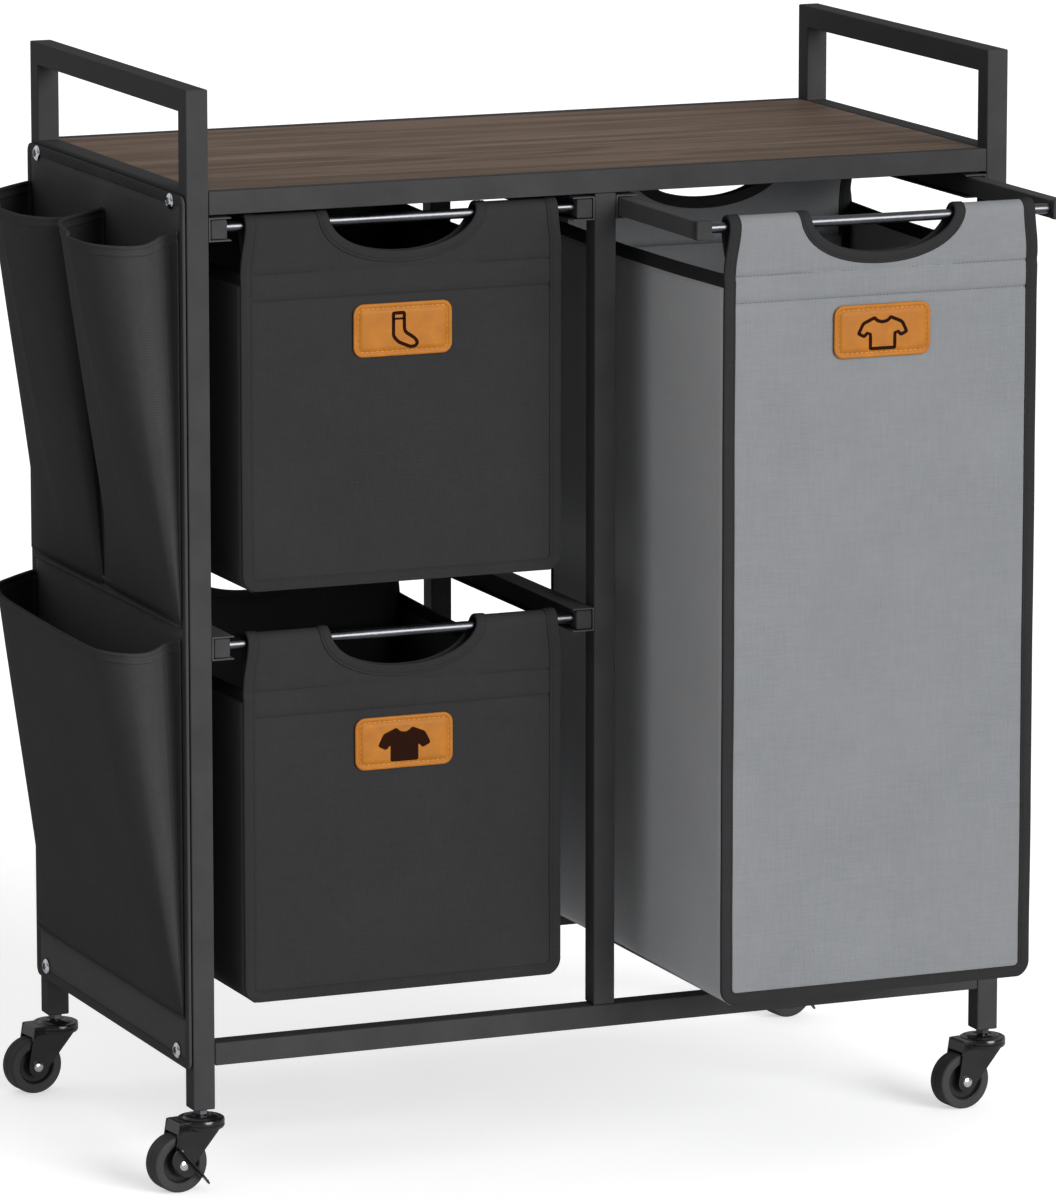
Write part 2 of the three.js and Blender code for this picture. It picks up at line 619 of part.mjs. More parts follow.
// A stamped rocker on the axle, outside the leg: a cheek plate with a narrow pedal along its upper edge.
// It is drawn about the axle with its pedal pointing along +X, and the caster tips it to its slope.
function brakeLever() {
  const inner = LEG_OUTER + GAP;
  const outer = inner + PEDAL_WIDTH;
  const cheek = roundedRectangle(CHEEK.tail, CHEEK.nose, CHEEK.low, CHEEK.high, CHEEK.corner);
  const hole = new THREE.Path();
  hole.absarc(0, 0, WHEEL_BORE, 0, Math.PI * 2, true);
  cheek.holes.push(hole);
  const plate = extrudeAlongY(cheek, inner, inner + LEVER_SHEET, 4);
  const pedal = new THREE.Shape();
  pedal.moveTo(LEVER_TAIL, inner);
  pedal.lineTo(PEDAL_REACH, inner);
  pedal.lineTo(PEDAL_REACH, outer - LEVER_CORNER);
  pedal.quadraticCurveTo(PEDAL_TAPER.bend, outer, PEDAL_TAPER.start, outer);
  pedal.lineTo(LEVER_TAIL + LEVER_CORNER, outer);
  pedal.quadraticCurveTo(LEVER_TAIL, outer, LEVER_TAIL, outer - LEVER_CORNER);
  const blade = new THREE.ExtrudeGeometry(pedal, {
    depth: LEVER_SHEET,
    bevelEnabled: false,
    curveSegments: 4,
  });
  blade.translate(0, 0, CHEEK.low);
  return join(plate, blade);
}

function buildCaster(parent, name, x, y, braked) {
  const caster = new THREE.Group();
  caster.position.set(x, y, 0);
  caster.rotation.z = CASTER_HEADING;
  parent.add(caster);
  addPart(caster, `${name}_caster_stem`, casterStem(), brightSteel);
  addPart(caster, `${name}_caster_fork`, casterFork(), blackPlastic);
  const grip = LEG_OUTER + GAP + (braked ? LEVER_SHEET + GAP : 0);
  const onAxle = [
    [`${name}_caster_axle`, casterAxle(grip), brightSteel],
    [`${name}_caster_wheel`, casterWheel(), greyRubber],
  ];
  for (const [part, geometry, finish] of onAxle) {
    addPart(caster, part, geometry, finish).position.set(TRAIL, 0, WHEEL_RADIUS);
  }
  if (braked) {
    const lever = addPart(caster, `${name}_brake_lever`, brakeLever(), darkSteel);
    lever.position.set(TRAIL, 0, WHEEL_RADIUS);
    lever.rotation.y = -LEVER_SLOPE;
  }
}

// ---- The whole sorter ----

const footprint = {
  left: PANEL_FACE - GAP - UPPER_FRONT_POCKET_OUT,
  right: POST_X + CUP_RADIUS,
  front: -HALF_DEPTH - TALL_BAG_PULLED_OUT,
  back: POST_Y + CUP_RADIUS,
};

const sorter = new THREE.Group();
const assembly = new THREE.Group();
assembly.position.set(-(footprint.left + footprint.right) / 2, -(footprint.front + footprint.back) / 2, 0);
sorter.add(assembly);

buildFrame(assembly);
buildOrganiser(assembly);

const lowerChannelTop = UPPER_CHANNEL_TOP - LEVEL_STEP;
const smallBag = { centre: -BAY_CENTRE, height: SMALL_BAG_HEIGHT, fabric: blackFabric, pulledOut: 0 };
buildBag(assembly, { name: 'upper', channelTop: UPPER_CHANNEL_TOP, ...smallBag });
buildBag(assembly, { name: 'lower', channelTop: lowerChannelTop, ...smallBag });
buildBag(assembly, {
  name: 'tall',
  centre: BAY_CENTRE,
  channelTop: UPPER_CHANNEL_TOP,
  height: SMALL_BAG_HEIGHT + LEVEL_STEP,
  fabric: greyFabric,
  pulledOut: TALL_BAG_PULLED_OUT,
});

buildCaster(assembly, 'front_left', -POST_X, -POST_Y, true);
buildCaster(assembly, 'front_right', POST_X, -POST_Y, false);
buildCaster(assembly, 'back_left', -POST_X, POST_Y, false);
buildCaster(assembly, 'back_right', POST_X, POST_Y, true);

export default sorter;
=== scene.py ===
import bisect
import math

import bmesh
import bpy
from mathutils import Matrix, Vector, noise


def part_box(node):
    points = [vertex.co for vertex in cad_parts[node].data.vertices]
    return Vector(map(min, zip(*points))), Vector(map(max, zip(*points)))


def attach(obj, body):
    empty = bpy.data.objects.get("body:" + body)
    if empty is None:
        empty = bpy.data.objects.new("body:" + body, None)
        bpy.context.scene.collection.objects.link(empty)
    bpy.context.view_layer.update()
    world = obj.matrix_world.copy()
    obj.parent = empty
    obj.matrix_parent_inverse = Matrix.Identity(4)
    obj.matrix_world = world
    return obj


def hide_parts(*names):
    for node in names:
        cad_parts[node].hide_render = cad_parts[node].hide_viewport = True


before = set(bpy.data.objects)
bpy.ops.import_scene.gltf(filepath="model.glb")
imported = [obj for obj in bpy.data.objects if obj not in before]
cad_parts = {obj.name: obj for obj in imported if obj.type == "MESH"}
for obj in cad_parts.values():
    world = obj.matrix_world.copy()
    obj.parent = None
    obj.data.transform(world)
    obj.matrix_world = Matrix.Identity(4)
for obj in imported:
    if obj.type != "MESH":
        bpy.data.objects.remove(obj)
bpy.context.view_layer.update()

# The pieces are drawn in millimetres about the middle of the steel frame, with +Z up and +Y to the back.
MM = 0.001
board_low, board_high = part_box("shelf_board")
MIDDLE = Vector(((board_low.x + board_high.x) / 2, (board_low.y + board_high.y) / 2, 0))


def spans(node):
    """The x, y and z ranges of a CAD node, in millimetres about the middle of the frame."""
    low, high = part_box(node)
    return [((a - m) / MM, (b - m) / MM) for a, b, m in zip(low, high, MIDDLE)]


# ---- Materials ----


def linear(hex_colour):
    """A colour written as on a screen, such as "#484848", in the shader's linear values."""
    parts = [int(hex_colour[i : i + 2], 16) / 255 for i in (1, 3, 5)]
    return (*[c / 12.92 if c <= 0.04045 else ((c + 0.055) / 1.055) ** 2.4 for c in parts], 1)


class Nodes:
    """The node tree of a material or world, with short calls for its nodes."""

    def __init__(self, owner):
        owner.use_nodes = True
        self.tree = owner.node_tree

    def node(self, kind, inputs=(), **settings):
        made = self.tree.nodes.new("ShaderNode" + kind)
        for key, value in settings.items():
            setattr(made, key, value)
        for key, value in dict(inputs).items():
            self.set(made.inputs[key], value)
        return made

    def set(self, socket, value):
        if isinstance(value, bpy.types.NodeSocket):
            self.tree.links.new(value, socket)
        else:
            socket.default_value = value

    def range(self, *values):
        """Maps a value from one range to another: value, low, high, new low, new high."""
        names = ("Value", "From Min", "From Max", "To Min", "To Max")
        return self.node("MapRange", zip(names, values)).outputs["Result"]

    def by_ray(self, light, camera):
        """One strength for the light that falls on things, and another for what the camera sees."""
        return self.range(self.node("LightPath").outputs["Is Camera Ray"], 0.0, 1.0, light, camera)


class Finish(Nodes):
    """A Principled material, and the record's slot that it belongs to."""

    def __init__(self, name, slot, **sockets):
        self.slot = slot
        self.material = bpy.data.materials.new(name)
        super().__init__(self.material)
        self.shader = self.tree.nodes["Principled BSDF"]
        for key, value in sockets.items():
            self.shader.inputs[key.replace("_", " ")].default_value = value
        self.place = self.node("TexCoord").outputs["Object"]

    def math(self, operation, a, b=0.0, c=0.0):
        return self.node("Math", {0: a, 1: b, 2: c}, operation=operation).outputs[0]

    def blend(self, *terms):
        """The sum of values times their weights."""
        total = 0.0
        for value, weight in terms:
            total = self.math("MULTIPLY_ADD", value, weight, total)
        return total

    def stretched(self, scale):
        """Object coordinates multiplied along each axis."""
        return self.node("VectorMath", {0: self.place, 1: scale}, operation="MULTIPLY").outputs[0]

    def noise(self, scale, vector=None, detail=3.0, roughness=0.5, distortion=0.0):
        inputs = {
            "Vector": vector or self.place, "Scale": scale, "Detail": detail, "Roughness": roughness,
            "Distortion": distortion,
        }
        return self.node("TexNoise", inputs).outputs["Fac"]

    def ramp(self, value, *stops):
        made = self.node("ValToRGB", {"Fac": value})
        elements = made.color_ramp.elements
        while len(elements) < len(stops):
            elements.new(0.5)
        for element, (position, colour) in zip(elements, stops):
            element.position = position
            element.color = linear(colour)
        return made.outputs["Color"]

    def surface(self, colour, roughness, height, bump, depth):
        """Connects the shader; depth is the bump's height in millimetres."""
        inputs = {"Strength": bump, "Distance": depth * MM, "Height": height}
        normal = self.node("Bump", inputs).outputs["Normal"]
        for name, value in (("Base Color", colour), ("Roughness", roughness), ("Normal", normal)):
            self.set(self.shader.inputs[name], value)
        return self


def powder_coat(name, slot, dark, light, gloss):
    """Textured satin paint: a fine orange-peel skin, faint dust and slightly uneven gloss."""
    made = Finish(name, slot, Specular_IOR_Level=0.01)
    peel = made.noise(1100, detail=2)
    dust = made.noise(24, detail=6, roughness=0.65)
    colour = made.ramp(made.blend((peel, 0.35), (dust, 0.65)), (0.3, dark), (0.72, light))
    return made.surface(colour, made.range(dust, 0.3, 0.7, gloss - 0.06, gloss + 0.08), peel, 0.35, 0.12)


def fabric(name, dark, light, threads, slot="black_fabric", pitch=1.15):
    """Plain-woven polyester. threads names the two axes that its threads run along."""
    made = Finish(name, slot, Specular_IOR_Level=0.02, Roughness=0.92)
    axes = made.node("SeparateXYZ", {0: made.place}).outputs
    waves = []
    for axis in threads:
        turns = made.math("MULTIPLY", axes[axis], math.pi / (pitch * MM))
        waves.append(made.math("SINE", turns))
    weave = made.math("MULTIPLY", *waves)
    slubs = []
    for thread, other in (threads, threads[::-1]):
        scale = [200.0, 200.0, 200.0]
        scale["XYZ".index(thread)] = 60.0
        scale["XYZ".index(other)] = 900.0
        slubs.append(made.noise(1.0, made.stretched(scale), detail=1))
    slub = made.math("ADD", *slubs)
    cloud = made.noise(11, detail=4, roughness=0.6)
    tone = made.blend((weave, 0.2), (slub, 0.3), (cloud, 0.4))
    colour = made.ramp(tone, (0.15, dark), (0.85, light))
    height = made.blend((weave, 0.5), (slub, 0.35))
    return made.surface(colour, made.range(slub, 0.7, 1.3, 0.95, 0.86), height, 0.45, 0.2)


def walnut():
    """Wood-effect foil: long figure along X, fine streaks and short dark pores."""
    made = Finish("walnut_foil", "shelf_wood", Specular_IOR_Level=0.12)
    figure = made.noise(1.0, made.stretched((0.9, 11.0, 11.0)), detail=4, roughness=0.5, distortion=0.3)
    rings = made.math("SINE", made.math("MULTIPLY", figure, 60.0))
    streaks = made.noise(1.0, made.stretched((3.0, 230.0, 230.0)), detail=5, roughness=0.6)
    pores = made.noise(1.0, made.stretched((45.0, 950.0, 950.0)), detail=2)
    tone = made.blend((rings, 0.09), (streaks, 0.75), (figure, 0.35))
    tone = made.math("SUBTRACT", tone, made.range(pores, 0.6, 0.72, 0.0, 0.2))
    colour = made.ramp(tone, (0.3, "#403329"), (0.5, "#5a4a3b"), (0.64, "#69564a"), (0.85, "#806d5e"))
    return made.surface(colour, made.range(streaks, 0.3, 0.7, 0.5, 0.62), tone, 0.3, 0.25)


def leather():
    """Tan imitation leather: mottled colour and a fine pebbled grain."""
    made = Finish("tan_leather", "label_leather", Specular_IOR_Level=0.2)
    cells = made.node("TexVoronoi", {"Vector": made.place, "Scale": 950.0}).outputs["Distance"]
    mottle = made.noise(70, detail=5, roughness=0.6)
    colour = made.ramp(mottle, (0.3, "#8e5611"), (0.55, "#985d16"), (0.75, "#a1651d"))
    return made.surface(colour, made.range(mottle, 0.3, 0.7, 0.5, 0.62), cells, 0.35, 0.15)


def plain(name, slot, dark, light, gloss, grain, bump, specular=0.5, metallic=0.0):
    """A moulded or metal surface with a fine grain and uneven gloss."""
    made = Finish(name, slot, Specular_IOR_Level=specular, Metallic=metallic)
    fine = made.noise(grain, detail=3)
    patch = made.noise(35, detail=4, roughness=0.6)
    colour = made.ramp(patch, (0.3, dark), (0.7, light))
    return made.surface(colour, made.range(patch, 0.3, 0.7, gloss * 0.8, gloss * 1.3), fine, bump, 0.1)


STEEL = powder_coat("black_powder_coat", "frame_steel", "#323233", "#3d3d3e", 0.5)
RAIL = powder_coat("black_satin_paint", "rail_steel", "#3d3d3e", "#49494a", 0.45)
CHROME = plain("chrome", "bright_steel", "#b4b6ba", "#d6d8dc", 0.16, 900.0, 0.08, metallic=1.0)
POLISHED = plain("polished_steel", "bright_steel", "#48494c", "#5a5b5e", 0.3, 900.0, 0.08, metallic=1.0)
WALNUT = walnut()
# Painted light: each cloth below is one fabric, split into copies by the way its threads run. The side and
# bottom copies are painted lighter than the front copy, to stand in for light on faces that the lamps leave
# dimmer.
BLACK_XZ = fabric("black_cloth_front", "#262627", "#303031", "XZ")
BLACK_YZ_PAINTED_LIGHT = fabric("black_cloth_side", "#2f2f30", "#3a3a3b", "YZ")
BLACK_XY_PAINTED_LIGHT = fabric("black_cloth_bottom", "#2c2c2d", "#383839", "XY")
# Painted light: the grey cloth's side copy is painted much lighter than its front copy, and its bottom copy
# a little lighter, so that the tall bag's side wall looks lit where the lamps leave it dim.
GREY_XZ = fabric("grey_cloth_front", "#686a6c", "#7b7d7f", "XZ", "grey_fabric")
GREY_YZ_PAINTED_LIGHT = fabric("grey_cloth_side", "#9c9d9f", "#aeafb1", "YZ", "grey_fabric")
# Painted fill light: the black bags' side walls are painted much lighter than the black front cloth, to
# stand in for light in the shaded gaps between the bags and the posts.
INNER_YZ_PAINTED_FILL = fabric("black_cloth_bag_side", "#4a4a4c", "#565658", "YZ")
GREY_XY_PAINTED_LIGHT = fabric("grey_cloth_bottom", "#7f8184", "#96989a", "XY", "grey_fabric")
TAPE = fabric("black_tape", "#242425", "#2e2e2f", "XZ", pitch=0.8)
# Painted light: the tape on the frame's side is painted lighter than the same tape on the bag fronts, for
# the dimmer light there.
TAPE_YZ_PAINTED_LIGHT = fabric("black_tape_side", "#343435", "#414142", "YZ", pitch=0.8)
# Painted light: the organiser's panel cloth is painted lighter than the black cloth of the bag fronts, to
# lift the shade on the frame's side and behind the pockets.
PANEL_YZ_PAINTED_LIGHT = fabric("organiser_panel_cloth", "#404041", "#4c4c4d", "YZ")
THREAD = plain("black_thread", "black_fabric", "#1c1c1d", "#2a2a2b", 0.7, 1500.0, 0.3)
TAN_THREAD = plain("tan_thread", "label_leather", "#a97130", "#ba8142", 0.6, 1500.0, 0.3)
LEATHER = leather()
PRINT = plain("dark_print", "label_leather", "#1c0b04", "#251008", 0.7, 900.0, 0.2, 0.03)
PLASTIC = plain("gloss_black_plastic", "caster_plastic", "#0f0f10", "#181819", 0.2, 400.0, 0.05, 0.4)
GLOSS_STEEL = plain("gloss_black_steel", "rail_steel", "#0e0e0f", "#171718", 0.22, 500.0, 0.05, 0.4)
CAP_PLASTIC = plain("matt_black_plastic", "rail_steel", "#303031", "#3b3b3c", 0.55, 500.0, 0.2, 0.03)
TYRE = plain("wheel_tread", "wheel_rubber", "#2b2b2c", "#363637", 0.6, 700.0, 0.3, 0.15)
HUB = plain("wheel_hub", "wheel_rubber", "#1a1a1b", "#242425", 0.4, 600.0, 0.2, 0.15)


# ---- Shapes, as (points, faces) ----


def merge(*shapes):
    points, faces = [], []
    for more_points, more_faces in shapes:
        start = len(points)
        points += more_points
        faces += [tuple(i + start for i in face) for face in more_faces]
    return points, faces


def moved(shape, place):
    return [place(*p) for p in shape[0]], shape[1]


def loft(rings, cyclic=False):
    """A skin over closed rings with the same number of points, closed at its ends or back to its start."""
    count, size = len(rings), len(rings[0])
    faces = []
    for i in range(count if cyclic else count - 1):
        a, b = i * size, ((i + 1) % count) * size
        for j in range(size):
            k = (j + 1) % size
            faces.append((a + j, a + k, b + k, b + j))
    if not cyclic:
        faces.append(tuple(range(size - 1, -1, -1)))
        faces.append(tuple(range((count - 1) * size, count * size)))
    return [p for ring in rings for p in ring], faces


def sheet(rows):
    """An open net of quads."""
    width = len(rows[0])
    faces = []
    for i in range(len(rows) - 1):
        for j in range(width - 1):
            a = i * width + j
            faces.append((a, a + 1, a + 1 + width, a + width))
    return [p for row in rows for p in row], faces


AXES = {
    "x": lambda a, b, t: (t, a, b),
    "y": lambda a, b, t: (a, t, b),
    "z": lambda a, b, t: (a, b, t),
}


def prism(outline, start, end, axis):
    """An outline in the other two axes, pushed along one axis."""
    turn = AXES[axis]
    return loft([[turn(a, b, t) for a, b in outline] for t in (start, end)])


def box(xs, ys, zs):
    corners = [(xs[0], ys[0]), (xs[1], ys[0]), (xs[1], ys[1]), (xs[0], ys[1])]
    return prism(corners, zs[0], zs[1], "z")


SIXTH = math.pi / 3
HEXAGON = True
FLATS = 0.866  # across a hexagon's flats, where its corners are 1 apart


def lathe(profile, axis, segments, cyclic=False):
    """A body of revolution. The profile lists (radius, height), or (half the width across its flats,
    height, HEXAGON) for a ring that is a hexagon."""
    turn = AXES[axis]
    rings = []
    for r, h, *hexagon in profile:
        ring = []
        for i in range(segments):
            angle = 2 * math.pi * i / segments
            reach = r / math.cos(angle % SIXTH - SIXTH / 2) if hexagon else r
            ring.append(turn(reach * math.cos(angle), reach * math.sin(angle), h))
        rings.append(ring)
    return loft(rings, cyclic)


def evenly(start, end, steps):
    """Evenly spaced values from start to end, with both of them."""
    return [start + (end - start) * i / steps for i in range(steps + 1)]


def arc(cx, cy, radius, start, end, steps=6):
    """Points on a circle between two angles in degrees."""
    angles = [math.radians(angle) for angle in evenly(start, end, steps)]
    return [(cx + radius * math.cos(a), cy + radius * math.sin(a)) for a in angles]


def rounded(points, radius, steps=4):
    """A closed outline with each corner replaced by an arc of about the given radius."""
    result = []
    count = len(points)
    for i, point in enumerate(points):
        here = Vector(point)
        before = Vector(points[i - 1]) - here
        after = Vector(points[(i + 1) % count]) - here
        size = min(radius, before.length * 0.49, after.length * 0.49)
        a, b = here + before.normalized() * size, here + after.normalized() * size
        for k in range(steps + 1):
            t = k / steps
            result.append(tuple(a * (1 - t) ** 2 + here * 2 * t * (1 - t) + b * t * t))
    return result


def left_normals(path, cyclic=False):
    """The unit vector to the left of a path in a plane, at each of its points."""
    result = []
    last = len(path) - 1
    for i in range(last + 1):
        before = path[i - 1] if cyclic or i else path[0]
        after = path[(i + 1) % (last + 1)] if cyclic or i < last else path[last]
        size = math.dist(before, after) or 1.0
        result.append(((before[1] - after[1]) / size, (after[0] - before[0]) / size))
    return result


def both_faces(rim, thickness=1.0):
    """A closed section or profile: the rim as given, and back along its mirror image."""
    face = [(a, n * thickness) for a, n in rim]
    return face + [(a, -n) for a, n in reversed(face)]


def rounded_box(half_width, half_height, radius, steps=6):
    corners = ((1, 1, 0), (-1, 1, 90), (-1, -1, 180), (1, -1, 270))
    points = []
    for sx, sy, start in corners:
        cx, cy = sx * (half_width - radius), sy * (half_height - radius)
        points += arc(cx, cy, radius, start, start + 90, steps)
    return points


def catmull(points, steps):
    """A smooth curve through the points, with the given number of steps between each two."""
    result = []
    last = len(points) - 1
    for i in range(last):
        p0, p1 = points[max(i - 1, 0)], points[i]
        p2, p3 = points[i + 1], points[min(i + 2, last)]
        for k in range(steps):
            t = k / steps
            result.append(tuple(
                0.5 * (2 * b + (c - a) * t + (2 * a - 5 * b + 4 * c - d) * t ** 2
                       + (3 * b - a - 3 * c + d) * t ** 3)
                for a, b, c, d in zip(p0, p1, p2, p3)
            ))
    return result + [tuple(points[-1])]


def lean(start, end):
    """Points after start, on a smooth S-curve that leaves start and reaches end upright."""
    points = []
    for t in evenly(0, 1, 12)[1:]:
        points.append((start[0] + (end[0] - start[0]) * ease(t, 0, 1), start[1] + (end[1] - start[1]) * t))
    return points


def ease(value, start, end):
    """0 before start, 1 after end, and smooth between them."""
    t = min(1.0, max(0.0, (value - start) / (end - start)))
    return t * t * (3 - 2 * t)


def ripple(x, y, size, seed):
    """Smooth wrinkles between -1 and 1, with the given spacing in millimetres."""
    return noise.noise(Vector((x / size, y / size, seed)))


def put(name, data):
    """A new object in the scene."""
    made = bpy.data.objects.new(name, data)
    bpy.context.scene.collection.objects.link(made)
    return made


def piece(name, shape, body, finish, stands_for=(), smooth=38, bevel=0.0, steps=3, thick=0.0):
    """One object that rides on a body. bevel rounds its hard edges, and thick makes a sheet solid."""
    points, faces = shape
    mesh = bpy.data.meshes.new(name)
    mesh.from_pydata([MIDDLE + Vector(p) * MM for p in points], [], faces)
    work = bmesh.new()
    work.from_mesh(mesh)
    bmesh.ops.remove_doubles(work, verts=work.verts[:], dist=0.002 * MM)
    bmesh.ops.recalc_face_normals(work, faces=work.faces[:])
    if bevel:
        hard = [e for e in work.edges if e.is_manifold and e.calc_face_angle() > 0.5]
        bmesh.ops.bevel(
            work, geom=hard, offset=bevel * MM, segments=steps, profile=0.5, affect="EDGES",
            clamp_overlap=True,
        )
    work.to_mesh(mesh)
    work.free()
    mesh.shade_smooth()
    mesh.set_sharp_from_angle(angle=math.radians(smooth))
    mesh.materials.append(finish.material)
    made = put(name, mesh)
    if thick:
        solid = made.modifiers.new("thickness", "SOLIDIFY")
        solid.thickness = thick * MM
        solid.offset = 0
        solid.use_even_offset = True
    if bevel:
        normals = made.modifiers.new("normals", "WEIGHTED_NORMAL")
        normals.keep_sharp = True
    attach(made, body)
    if stands_for:
        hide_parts(*stands_for)


GRAIN_FACES = [(0, 2, 4), (0, 4, 3), (0, 3, 5), (0, 5, 2), (1, 4, 2), (1, 3, 4), (1, 5, 3), (1, 2, 5)]


def stitches(points, normals, pitch=3.8, length=2.5, radius=0.4):
    """A row of small stitches along a line, each a short grain that lies on the surface. normals is one
    direction, or a list with one for each point."""
    if isinstance(normals, tuple):
        normals = [normals] * len(points)
    shapes = []
    travelled = 0.0
    due = pitch / 2
    for (start, end), normal in zip(zip(points, points[1:]), normals):
        a, b = Vector(start), Vector(end)
        step = (b - a).length
        if step < 1e-6:
            continue
        along = (b - a) / step
        out = Vector(normal).normalized()
        side = along.cross(out)
        while due <= travelled + step:
            middle = a + along * (due - travelled)
            tip, flank, rise = along * length / 2, side * radius, out * radius
            grain = (-tip - out * 0.1, tip - out * 0.1, flank, -flank, rise, -rise)
            shapes.append(([tuple(middle + reach) for reach in grain], GRAIN_FACES))
            due += pitch
        travelled += step
    return merge(*shapes)


def sewing(name, rows, body="frame", thread=THREAD):
    """Rows of stitches as one piece."""
    piece(name + "_stitching", merge(*rows), body, thread, smooth=70)


# ---- Steel frame and shelf ----

LEFT_X, FRAME_Y, POST_Z = spans("left_end_frame")
RIGHT_X = spans("right_end_frame")[0]
TUBE = LEFT_X[1] - LEFT_X[0]
RAIL_Z = spans("front_top_rail")[2]
LOW_Z = spans("front_bottom_rail")[2]


def plate_of_cells(xs, ys, zs, filled):
    """A flat frame made of the filled cells between the lines ys and zs."""
    cells = [(i, j) for i in range(len(ys) - 1) for j in range(len(zs) - 1) if filled(i, j)]
    shapes = []
    for i, j in cells:
        y0, y1, z0, z1 = ys[i], ys[i + 1], zs[j], zs[j + 1]
        corners = [(y0, z0), (y1, z0), (y1, z1), (y0, z1)]
        for x in xs:
            shapes.append(([(x, y, z) for y, z in corners], [(0, 1, 2, 3)]))
        neighbours = ((i, j - 1), (i + 1, j), (i, j + 1), (i - 1, j))
        for a, b, neighbour in zip(corners, corners[1:] + corners[:1], neighbours):
            if neighbour not in cells:
                shapes.append(([(xs[0], *a), (xs[1], *a), (xs[1], *b), (xs[0], *b)], [(0, 1, 2, 3)]))
    return merge(*shapes)


ROW_LINES = [POST_Z[0], *LOW_Z, *RAIL_Z, POST_Z[1] - TUBE, POST_Z[1]]
COLUMN_LINES = [FRAME_Y[0], FRAME_Y[0] + TUBE, FRAME_Y[1] - TUBE, FRAME_Y[1]]
for side, xs in (("left", LEFT_X), ("right", RIGHT_X)):
    shape = plate_of_cells(xs, COLUMN_LINES, ROW_LINES, lambda i, j: i != 1 or j in (1, 3, 5))
    piece(f"{side}_end_tubes", shape, "frame", STEEL, [f"{side}_end_frame"], bevel=1.3)

FLANGE = 1.5
for end in ("front", "back"):
    xs, ys, zs = spans(f"{end}_top_rail")
    face, far = ys if end == "front" else ys[::-1]
    lip = face + math.copysign(11, far - face)
    shelf = spans("shelf_board")[2][0] - 0.3
    outline = [
        (face, zs[0]), (lip, zs[0]), (lip, shelf - FLANGE), (far, shelf - FLANGE),
        (far, shelf), (lip, shelf), (lip, zs[1]), (face, zs[1]),
    ]
    piece(f"{end}_shelf_rail", prism(outline, *xs, "x"), "frame", STEEL, [f"{end}_top_rail"], bevel=0.7)
    for node in (f"{end}_bottom_rail", f"{end}_middle_post"):
        piece(node + "_tube", box(*spans(node)), "frame", STEEL, [node], bevel=1.3)

piece("walnut_shelf", box(*spans("shelf_board")), "frame", WALNUT, ["shelf_board"], bevel=0.6)


# ---- Bags and their carriages ----

ROD_IN = 11.0
SLEEVE = 8.7
CLOTH = 1.3
LEAN_FROM = 62.0  # below this depth the cloth hangs straight
PLAIN_FROM = 60.0  # the net is bent to the grip above this depth
WALL_TOP = 50.0
TAPE_WIDTH = 10.0
TAPE_THICK = 1.6
GRIP_TAPE = 9.2
TAPE_SEAM = 2.1  # from a tape's inner edge to its row of stitches
GRIP_HALF = 69.0
GRIP_DEEP = 37.3
GRIP_POWER = 2.1
GRIP_STEPS = 56
HEM_LINES = (52.0, 75.0)
CORNER = 14.0
SHOULDER = 4.0
LABEL_DROP = 105.0
CHANNEL_SHEET = 1.2
CAP_LENGTH = 8.7


def tape_section(width):
    """A folded tape as (distance from its fold, height above the cloth), with a sewn groove."""
    return both_faces([
        (-0.9, 0.4), (-0.6, 0.8), (0.1, 1.02), (1.2, 1.12), (width * 0.45, 1.08), (width - 3.0, 1.1),
        (width - TAPE_SEAM, 0.72), (width - 1.2, 1.05), (width - 0.3, 0.92), (width, 0.6),
    ], TAPE_THICK)


class Track:
    """A line through (y, z) points that is read by its length from the start."""

    def __init__(self, points):
        self.points = points
        self.at_point = [0.0]
        for a, b in zip(points, points[1:]):
            self.at_point.append(self.at_point[-1] + math.dist(a, b))
        self.total = self.at_point[-1]
        self.normals = left_normals(points)

    def at(self, s):
        """The point and its normal at the length s, as (y, z, ny, nz)."""
        s = min(max(s, 0.0), self.total)
        i = min(bisect.bisect_right(self.at_point, s), len(self.points) - 1) - 1
        t = (s - self.at_point[i]) / (self.at_point[i + 1] - self.at_point[i])
        ends = zip(self.points[i] + self.normals[i], self.points[i + 1] + self.normals[i + 1])
        return tuple(a + (b - a) * t for a, b in ends)

    def find(self, z, low, high):
        """The length at which the line passes the height z, where it rises or falls steadily."""
        rising = self.at(high)[1] > self.at(low)[1]
        for _ in range(40):
            middle = (low + high) / 2
            if (self.at(middle)[1] < z) == rising:
                low = middle
            else:
                high = middle
        return (low + high) / 2


def corner_inset(above):
    """How far a bag's rounded lower corner lies inwards at a height above its bottom."""
    return CORNER - math.sqrt(CORNER ** 2 - max(0.0, CORNER - above) ** 2)


